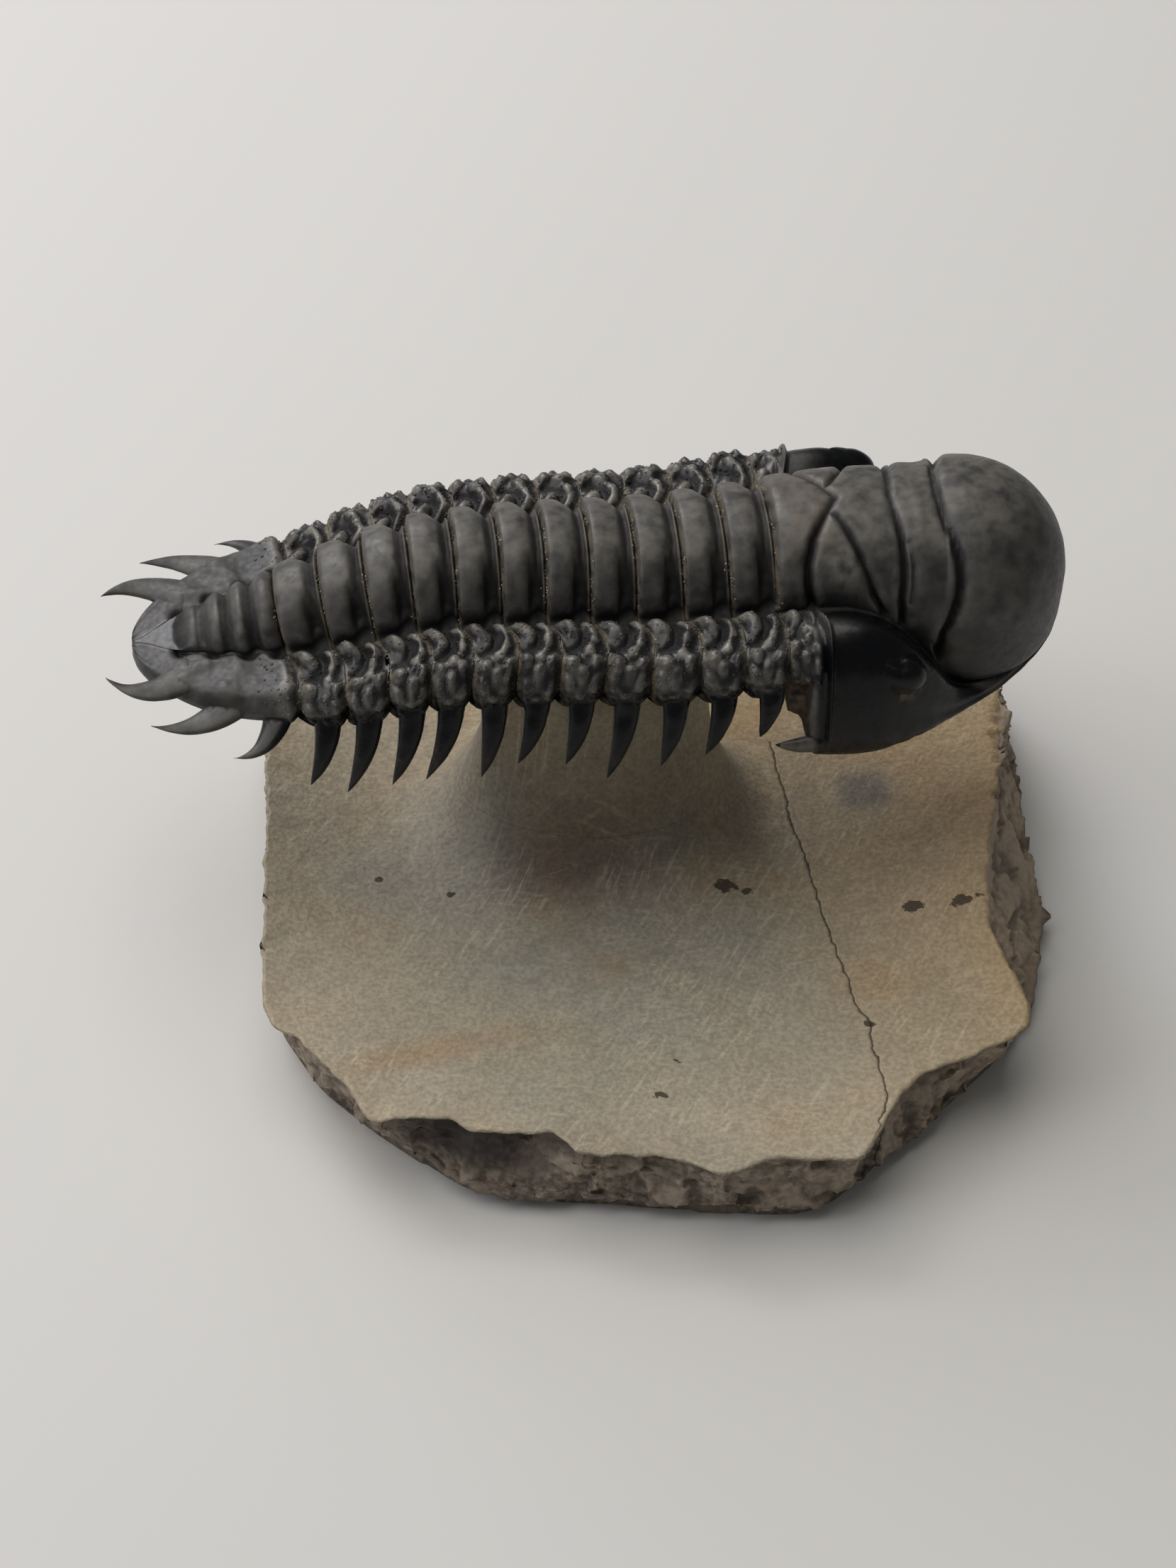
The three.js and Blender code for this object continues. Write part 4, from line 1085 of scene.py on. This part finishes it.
# painted shadow in the first scoop of the broken front, and painted shade in the hollows of the
# broken faces
first_scoop_shadow = np.exp(-((np.degrees(bearing_of(points)) - 247) / 10) ** 4)
depth = fade(0.03, 0.3, hollow_depth(stone, 20))
mark(stone, "scoop", rock_rows * np.maximum(first_scoop_shadow * fade(1.5, 5, z), 0.5 * depth))

# the crack's distance is positive on one side of its line and negative on the other
gap, side = np.full(len(points), 1e9), np.ones(len(points))
for (x0, y0), (x1, y1) in zip(CRACK[:-1], CRACK[1:]):
    here = gap_to_line(x, y, [(x0, y0), (x1, y1)])
    turn = np.sign((x1 - x0) * (y - y0) - (y1 - y0) * (x - x0))
    side = np.where(here < gap, turn, side)
    gap = np.minimum(gap, here)
signed = np.where((z < 12) & (y < 6), side * np.minimum(gap, CRACK_REACH), CRACK_REACH)
mark(stone, "crack", signed, -CRACK_REACH, CRACK_REACH)
print("grey share of the stone:", round(float((grey > 0.5).mean()), 2))

# %% [markdown]
# ## Materials
# The armour is calcite stained black and waxed after cleaning: a dark dielectric, satin on the
# rings and almost glossy on the side lobes and cheeks. The stone is fine limestone, matt, with
# scratches from the scribe's needle. Its broken faces are darker with old dirt in the grain, and
# painted shadow darkens their scoops and hollows. Some coats are painted light and shade: darker
# hollows, flanks and undersides and lighter tops on the armour, lit and shaded patches on the
# stone.
# Colours lie over each other in coats, as on the real thing: each coat covers the one below where
# an attribute is high, or only in the patches of a noise. Object coordinates are metres, so a noise
# scale of 1000 / size gives patches of that size in mm.

# %% Colours and coats
SMOOTH = {"interpolation_type": "SMOOTHSTEP"}


def paint(code):
    parts = [int(code[i:i + 2], 16) / 255 for i in (1, 3, 5)]
    linear = [p / 12.92 if p <= 0.04045 else ((p + 0.055) / 1.055) ** 2.4 for p in parts]
    return (*linear, 1.0)


def coat(add, under, colour, cover, strength=1.0, patches=None, low=0.0, high=1.0):
    share = add(MATH, {0: cover, 1: strength}, operation="MULTIPLY")
    if patches:
        share = add("ShaderNodeMapRange", {"Value": patches, "From Min": low, "From Max": high,
                                           "To Max": share}, **SMOOTH)
    under, colour = (paint(c) if isinstance(c, str) else c for c in (under, colour))
    return add("ShaderNodeMix", {0: share, 6: under, 7: colour}, data_type="RGBA")


# a material with its stored attributes and its noises, each given by size in mm and detail
def new_material(name, marks, sizes):
    material = bpy.data.materials.new(name)
    material.use_nodes = True
    tree = material.node_tree
    add = partial(add_node, tree)
    stored = [add("ShaderNodeAttribute", attribute_name=key).outputs["Fac"] for key in marks]
    place = add("ShaderNodeTexCoord").outputs["Object"]
    noises = [add("ShaderNodeTexNoise", {"Vector": place, "Scale": 1000 / size, "Detail": detail})
              for size, detail in sizes]
    return material, tree.nodes["Principled BSDF"], add, stored, noises


def dress(piece, material):
    piece.data.materials.clear()
    piece.data.materials.append(material)
    piece.data.shade_smooth()

# %% Waxed black calcite
def waxed_calcite():
    material, shader, add, stored, noises = new_material(
        "waxed_black_calcite",
        ("wax_and_flank_shade", "jet_and_shade", "matrix", "tan", "hollow_shade", "wear_and_highlight", "wedge"),
        ((2.4, 3), (0.5, 3), (1.5, 4), (1.3, 2), (0.9, 3), (0.8, 4), (0.35, 3), (0.9, 2)))
    wax_and_flank_shade, jet_and_shade, matrix, tan, hollow_shade, wear_and_highlight, wedge = stored
    cloudy, fine, wear_highlight_patches, stains, crumbs, clods, grains, swells = noises
    seam = add("ShaderNodeMapRange", {"Value": crumbs, "From Min": 0.4, "From Max": 0.6,
                                      "To Max": matrix}, **SMOOTH)
    # bare calcite, wax on the lobes with painted shade on the ring flanks, rubbed tops with painted
    # highlights, thick wax with painted shade, tan stains, painted shade in the hollows, and
    # matrix, painted darker behind the cheeks as shade
    colour = coat(add, "#2b2a29", "#403e3b", 1.0, 1.0, cloudy, 0.35, 0.7)
    colour = coat(add, colour, "#17171a", wax_and_flank_shade, 0.6)
    colour = coat(add, colour, "#8d8980", wear_and_highlight, 0.8, wear_highlight_patches, 0.2, 0.75)
    colour = coat(add, colour, "#0c0d0f", jet_and_shade)
    colour = coat(add, colour, "#655848", tan, 0.6, stains, 0.35, 0.6)
    colour = coat(add, colour, "#0d0d0e", hollow_shade, 0.85)
    colour = coat(add, colour, "#716752", seam, 0.75)
    shaded_earth = coat(add, "#1d1712", "#4b3421", 1.0, 1.0, clods, 0.4, 0.62)
    colour = coat(add, colour, shaded_earth, wedge)
    dull = add("ShaderNodeMapRange", {"Value": wax_and_flank_shade, "To Min": 0.47, "To Max": 0.27}, **SMOOTH)
    uneven = add("ShaderNodeMapRange", {"Value": fine, "From Min": 0.3, "From Max": 0.7,
                                        "To Min": -0.06, "To Max": 0.08}, **SMOOTH)
    crust = add(MATH, {0: seam, 1: hollow_shade}, operation="MAXIMUM")
    rough = add(MATH, {0: crust, 1: 0.4, 2: add(MATH, {0: dull, 1: uneven})},
                operation="MULTIPLY_ADD")
    # less sheen on thick wax and on the painted shade keeps them deep black over the bright floor
    sheen = add("ShaderNodeMapRange", {"Value": jet_and_shade, "From Min": 0.5, "To Min": 0.35,
                                       "To Max": 0.2}, **SMOOTH)
    relief = add(MATH, {0: add(MATH, {0: grains, 1: 0.6}, operation="MULTIPLY"), 1: swells})
    bump = add("ShaderNodeBump", {"Strength": 0.3, "Distance": 0.06 * MM, "Height": relief})
    plug(shader, {"Base Color": colour, "Roughness": rough, "IOR": 1.56,
                  "Specular IOR Level": sheen, "Normal": bump})
    return material


def matrix_crumb():
    material, shader, add, _, noises = new_material("limestone_crumb", (), ((0.8, 2),))
    colour = coat(add, "#6f6656", "#aaa08c", 1.0, 1.0, noises[0], 0.35, 0.65)
    plug(shader, {"Base Color": colour, "Roughness": 0.8})
    return material

# %% Tooled limestone
# turn in degrees, length and width of a stroke in mm, seed and strength
SCRATCHES = [(55, 5.0, 0.55, 13.0, 0.4), (66, 4.0, 0.45, 31.0, 0.24), (8, 8.0, 0.4, 47.0, 0.22),
             (-12, 7.0, 0.4, 59.0, 0.2)]


def scratches(add, turn, length, width, seed, strength):
    place = add("ShaderNodeTexCoord").outputs["Object"]
    turned = add("ShaderNodeMapping", {
        "Vector": place, "Location": (seed * MM, 0.3 * seed * MM, 0),
        "Rotation": (0, 0, math.radians(turn)), "Scale": (length * MM, width * MM, 1.0)},
        vector_type="TEXTURE")
    streak = add("ShaderNodeTexNoise", {
        "Vector": turned, "Scale": 1.0, "Detail": 2.0, "Roughness": 0.65})
    groups = add("ShaderNodeTexNoise", {
        "Vector": place, "Scale": 1000 / (8.0 + turn / 20), "Detail": 1.0})
    lines = add("ShaderNodeMapRange", {"Value": streak, "From Min": 0.56, "From Max": 0.66,
                                       "To Max": strength}, **SMOOTH)
    thick = add("ShaderNodeMapRange", {"Value": groups, "From Min": 0.44, "From Max": 0.6,
                                       "To Min": 0.15}, **SMOOTH)
    return add(MATH, {0: lines, 1: thick}, operation="MULTIPLY")


def tooled_limestone():
    material, shader, add, stored, noises = new_material(
        "tooled_limestone",
        ("warm", "rust", "red", "spot", "rock", "crack", "painted_light", "shade", "scoop"),
        ((0.45, 4), (1.6, 4), (0.7, 6), (6.0, 3), (0.8, 3), (1.5, 3)))
    warm, rust, red, spot, rock_share, crack, painted_light, shade, scoop = stored
    fine, grit, rubble, drift, tears, wobble = noises
    fresh = coat(add, "#88867a", "#b0ab9b", grit)
    colour = coat(add, fresh, coat(add, "#a68f6b", "#c3aa83", grit), warm)
    # rust stains, painted light, painted shade with one real dark patch, and the reddish foot
    for over, cover, strength in (("#a37a48", rust, 1.0), ("#c2b9a5", painted_light, 0.6),
                                  ("#68625a", shade, 0.65), ("#5f4940", red, 0.65)):
        colour = coat(add, colour, over, cover, strength)
    for stroke in SCRATCHES:
        colour = coat(add, colour, "#cfc3a8", scratches(add, *stroke))
    speckle = add("ShaderNodeMapRange", {"Value": fine, "From Min": 0.3, "From Max": 0.7,
                                         "To Min": 0.82, "To Max": 1.12}, **SMOOTH)
    grey = add("ShaderNodeCombineColor", {0: speckle, 1: speckle, 2: speckle})
    colour = add("ShaderNodeMix", {0: 1.0, 6: colour, 7: grey}, data_type="RGBA",
                 blend_type="MULTIPLY")
    # broken rock, warm to the right, with pale drifts and painted shadow in the scoops and hollows
    rock = coat(add, "#554d46", "#a79c8d", 1.0, 1.0, rubble, 0.36, 0.66)
    rock = coat(add, rock, "#bca68c", warm, 0.6)
    rock = coat(add, rock, "#a99a88", 1.0, 0.7, drift, 0.42, 0.62)
    rock = coat(add, rock, "#272122", scoop, 0.88)
    colour = coat(add, colour, rock, 1.0, 1.0, rock_share, 0.4, 0.6)
    # dark spots with torn edges
    tear = add("ShaderNodeMapRange", {"Value": tears, "From Min": 0.3, "From Max": 0.7,
                                      "To Min": -0.3, "To Max": 0.3}, **SMOOTH)
    inside = add("ShaderNodeMapRange", {"Value": spot, "From Min": 0.1, "From Max": 0.3},
                 **SMOOTH)
    torn = add(MATH, {0: add(MATH, {0: spot, 1: tear}), 1: inside}, operation="MULTIPLY")
    colour = coat(add, colour, "#2f261d", 1.0, 0.85, torn, 0.45, 0.65)
    # the hair crack wanders by under half a millimetre
    wander = add(MATH, {0: add(MATH, {0: wobble, 1: 0.5}, operation="SUBTRACT"), 1: 0.9},
                 operation="MULTIPLY")
    line = add(MATH, {0: add(MATH, {0: crack, 1: wander})}, operation="ABSOLUTE")
    colour = coat(add, colour, "#35291e", 1.0, 0.85, line, 0.14, 0.04)
    cut = add("ShaderNodeMapRange", {"Value": line, "From Min": 0.05, "From Max": 0.25,
                                     "To Min": 1.2, "To Max": 0.0}, **SMOOTH)
    relief = add(MATH, {0: fine, 1: add(MATH, {0: grit, 1: 1.4}, operation="MULTIPLY")})
    relief = add(MATH, {0: relief, 1: cut}, operation="SUBTRACT")
    bump = add("ShaderNodeBump", {"Strength": 0.5, "Distance": 0.18 * MM, "Height": relief})
    plug(shader, {"Base Color": colour, "Roughness": 0.86, "Normal": bump})
    return material


calcite, crumb, limestone = waxed_calcite(), matrix_crumb(), tooled_limestone()
print("materials:", calcite.name, crumb.name, limestone.name)

# %% Scatter the grains and dress the pieces
def join(piece, others):
    bpy.ops.object.select_all(action="DESELECT")
    for other in others:
        other.select_set(True)
    piece.select_set(True)
    bpy.context.view_layer.objects.active = piece
    bpy.ops.object.join()


def grains_on(piece, where, per_mm2, gap, smallest, largest, seed, material):
    made = link(piece.name + "_grains", piece.data.copy())
    return run_tree(made, GRAINS, {
        "Where": where, "Per Square Metre": per_mm2 / MM ** 2, "Gap": gap * MM,
        "Smallest": smallest * MM, "Largest": largest * MM, "Seed": seed, "Material": material})


def weigh_grains(piece):
    points = places(piece.data)
    x, _, z = points.T
    above = z - furrow_level(x)
    lobes = on_side_lobe(points) * fade(-0.8, 0.4, above + margin_drop(x))
    mark(piece, "granules", lobes * fade(-34, -32, x))
    seams = joint_nearness(points, 0.22) * fade(-1.5, 0.5, above)
    mark(piece, "crumbs", seams * fade(0.0, 0.35, lumps(points, 2.2, 21.0)))


for number, piece in enumerate(plates):
    dress(piece, calcite)
    weigh_grains(piece)
    granules = grains_on(piece, "granules", 2.2, 0.34, 0.07, 0.17, number, calcite)
    everywhere = np.ones(len(granules.data.vertices))
    mark(granules, "wax_and_flank_shade", everywhere)
    mark(granules, "wear_and_highlight", 0.6 * everywhere)
    crumbs = grains_on(piece, "crumbs", 5.0, 0.2, 0.05, 0.12, 40 + number, crumb)
    join(piece, [granules, crumbs])
    for name in ("granules", "crumbs"):
        piece.data.attributes.remove(piece.data.attributes[name])
dress(stone, limestone)
print("armour triangles in all:", sum(triangles(piece) for piece in plates))

# %% [markdown]
# ## Fitting the pieces to the frame
# Each visible piece stands for its CAD node and rides on the one rigid body.

# %% Ride and replace
nodes = ["cephalon", "pygidium"] + [f"thoracic_segment_{i + 1:02d}" for i in range(SEGMENTS)]
for piece, node in zip(plates, nodes):
    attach(piece, "root")
    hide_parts(node)
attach(stone, "root")
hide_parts("matrix_pedestal")

# %% [markdown]
# ## Floor, light and camera
# A pale floor, a large soft light overhead from the left, a smaller panel behind and a weak cool
# window far left give grey tops, dark flanks and small glints on the knobs, along with the painted
# highlights and shade in the colours. The camera looks down at 47 degrees from a distance of about
# 0.4 m.

# %% Stage
def stage_floor():
    mesh = bpy.data.meshes.new("floor")
    mesh.from_pydata([(-2, -2, 0), (2, -2, 0), (2, 2, 0), (-2, 2, 0)], [], [(0, 1, 2, 3)])
    floor = link("floor", mesh)
    material, shader = new_material("pale_card", (), ())[:2]
    plug(shader, {"Base Color": paint("#d9d8d4"), "Roughness": 0.7})
    dress(floor, material)


def softbox(name, place, aim, size, watts, colour):
    lamp = bpy.data.lights.new(name, "AREA")
    lamp.shape, lamp.size, lamp.energy = "DISK", size, watts
    lamp.color = paint(colour)[:3]
    holder = bpy.data.objects.new(name, lamp)
    holder.location = place
    holder.rotation_euler = (Vector(aim) - Vector(place)).to_track_quat("-Z", "Y").to_euler()
    bpy.context.scene.collection.objects.link(holder)


stage_floor()
# name, place, aim, size, watts and colour
for lamp in (("overhead", (-0.28, 0.18, 0.76), (0, 0, 0.03), 1.1, 5.3, "#fffaf3"),
             ("rear_panel", (-0.3, 0.6, 0.5), (0, 0, 0.03), 0.5, 2.9, "#f8f8ff"),
             ("window", (-0.62, -0.1, 0.4), (0, 0, 0.02), 0.3, 0.9, "#eef2ff")):
    softbox(*lamp)
world = bpy.data.worlds.new("studio")
bpy.context.scene.world = world
world.use_nodes = True
plug(world.node_tree.nodes["Background"], {"Color": paint("#dfe2e6"), "Strength": 0.15})
print("world:", world.name)


# %% Camera
ELEVATION, YAW, ROLL, DISTANCE = 47.0, 10.0, 4.2, 392.0
# focal length, middle and height of the picture, and where the point 40 mm up is seen, in pixels
FOCAL, MIDDLE, HEIGHT, SEEN_AT = 5900.0, (829.5, 1106.0), 2212, (862.0, 788.0)
AIM = Vector((0, 0, 40))
SENSOR = 24.0


def photo_camera():
    e, y, r = (math.radians(v) for v in (ELEVATION, YAW, ROLL))
    forward = Vector((math.sin(y) * math.cos(e), math.cos(y) * math.cos(e), -math.sin(e)))
    level = Vector((math.cos(y), -math.sin(y), 0))
    upright = level.cross(forward)
    right = level * math.cos(r) + upright * math.sin(r)
    up = upright * math.cos(r) - level * math.sin(r)
    aside, down = ((seen - middle) / FOCAL for seen, middle in zip(SEEN_AT, MIDDLE))
    ray = right * aside - up * down + forward
    camera = bpy.data.cameras.new("camera")
    camera.sensor_fit, camera.sensor_height = "VERTICAL", SENSOR
    camera.lens = FOCAL / HEIGHT * SENSOR
    camera.clip_start = 0.01
    holder = bpy.data.objects.new("camera", camera)
    place = (AIM - ray * DISTANCE) * MM
    turned = Matrix((right, up, -forward)).transposed().to_4x4()
    holder.matrix_world = Matrix.Translation(place) @ turned
    bpy.context.scene.collection.objects.link(holder)
    bpy.context.scene.camera = holder
    print("camera at", [round(v, 3) for v in place], "lens", round(camera.lens, 1))


photo_camera()
bpy.context.scene.view_settings.view_transform = "Standard"
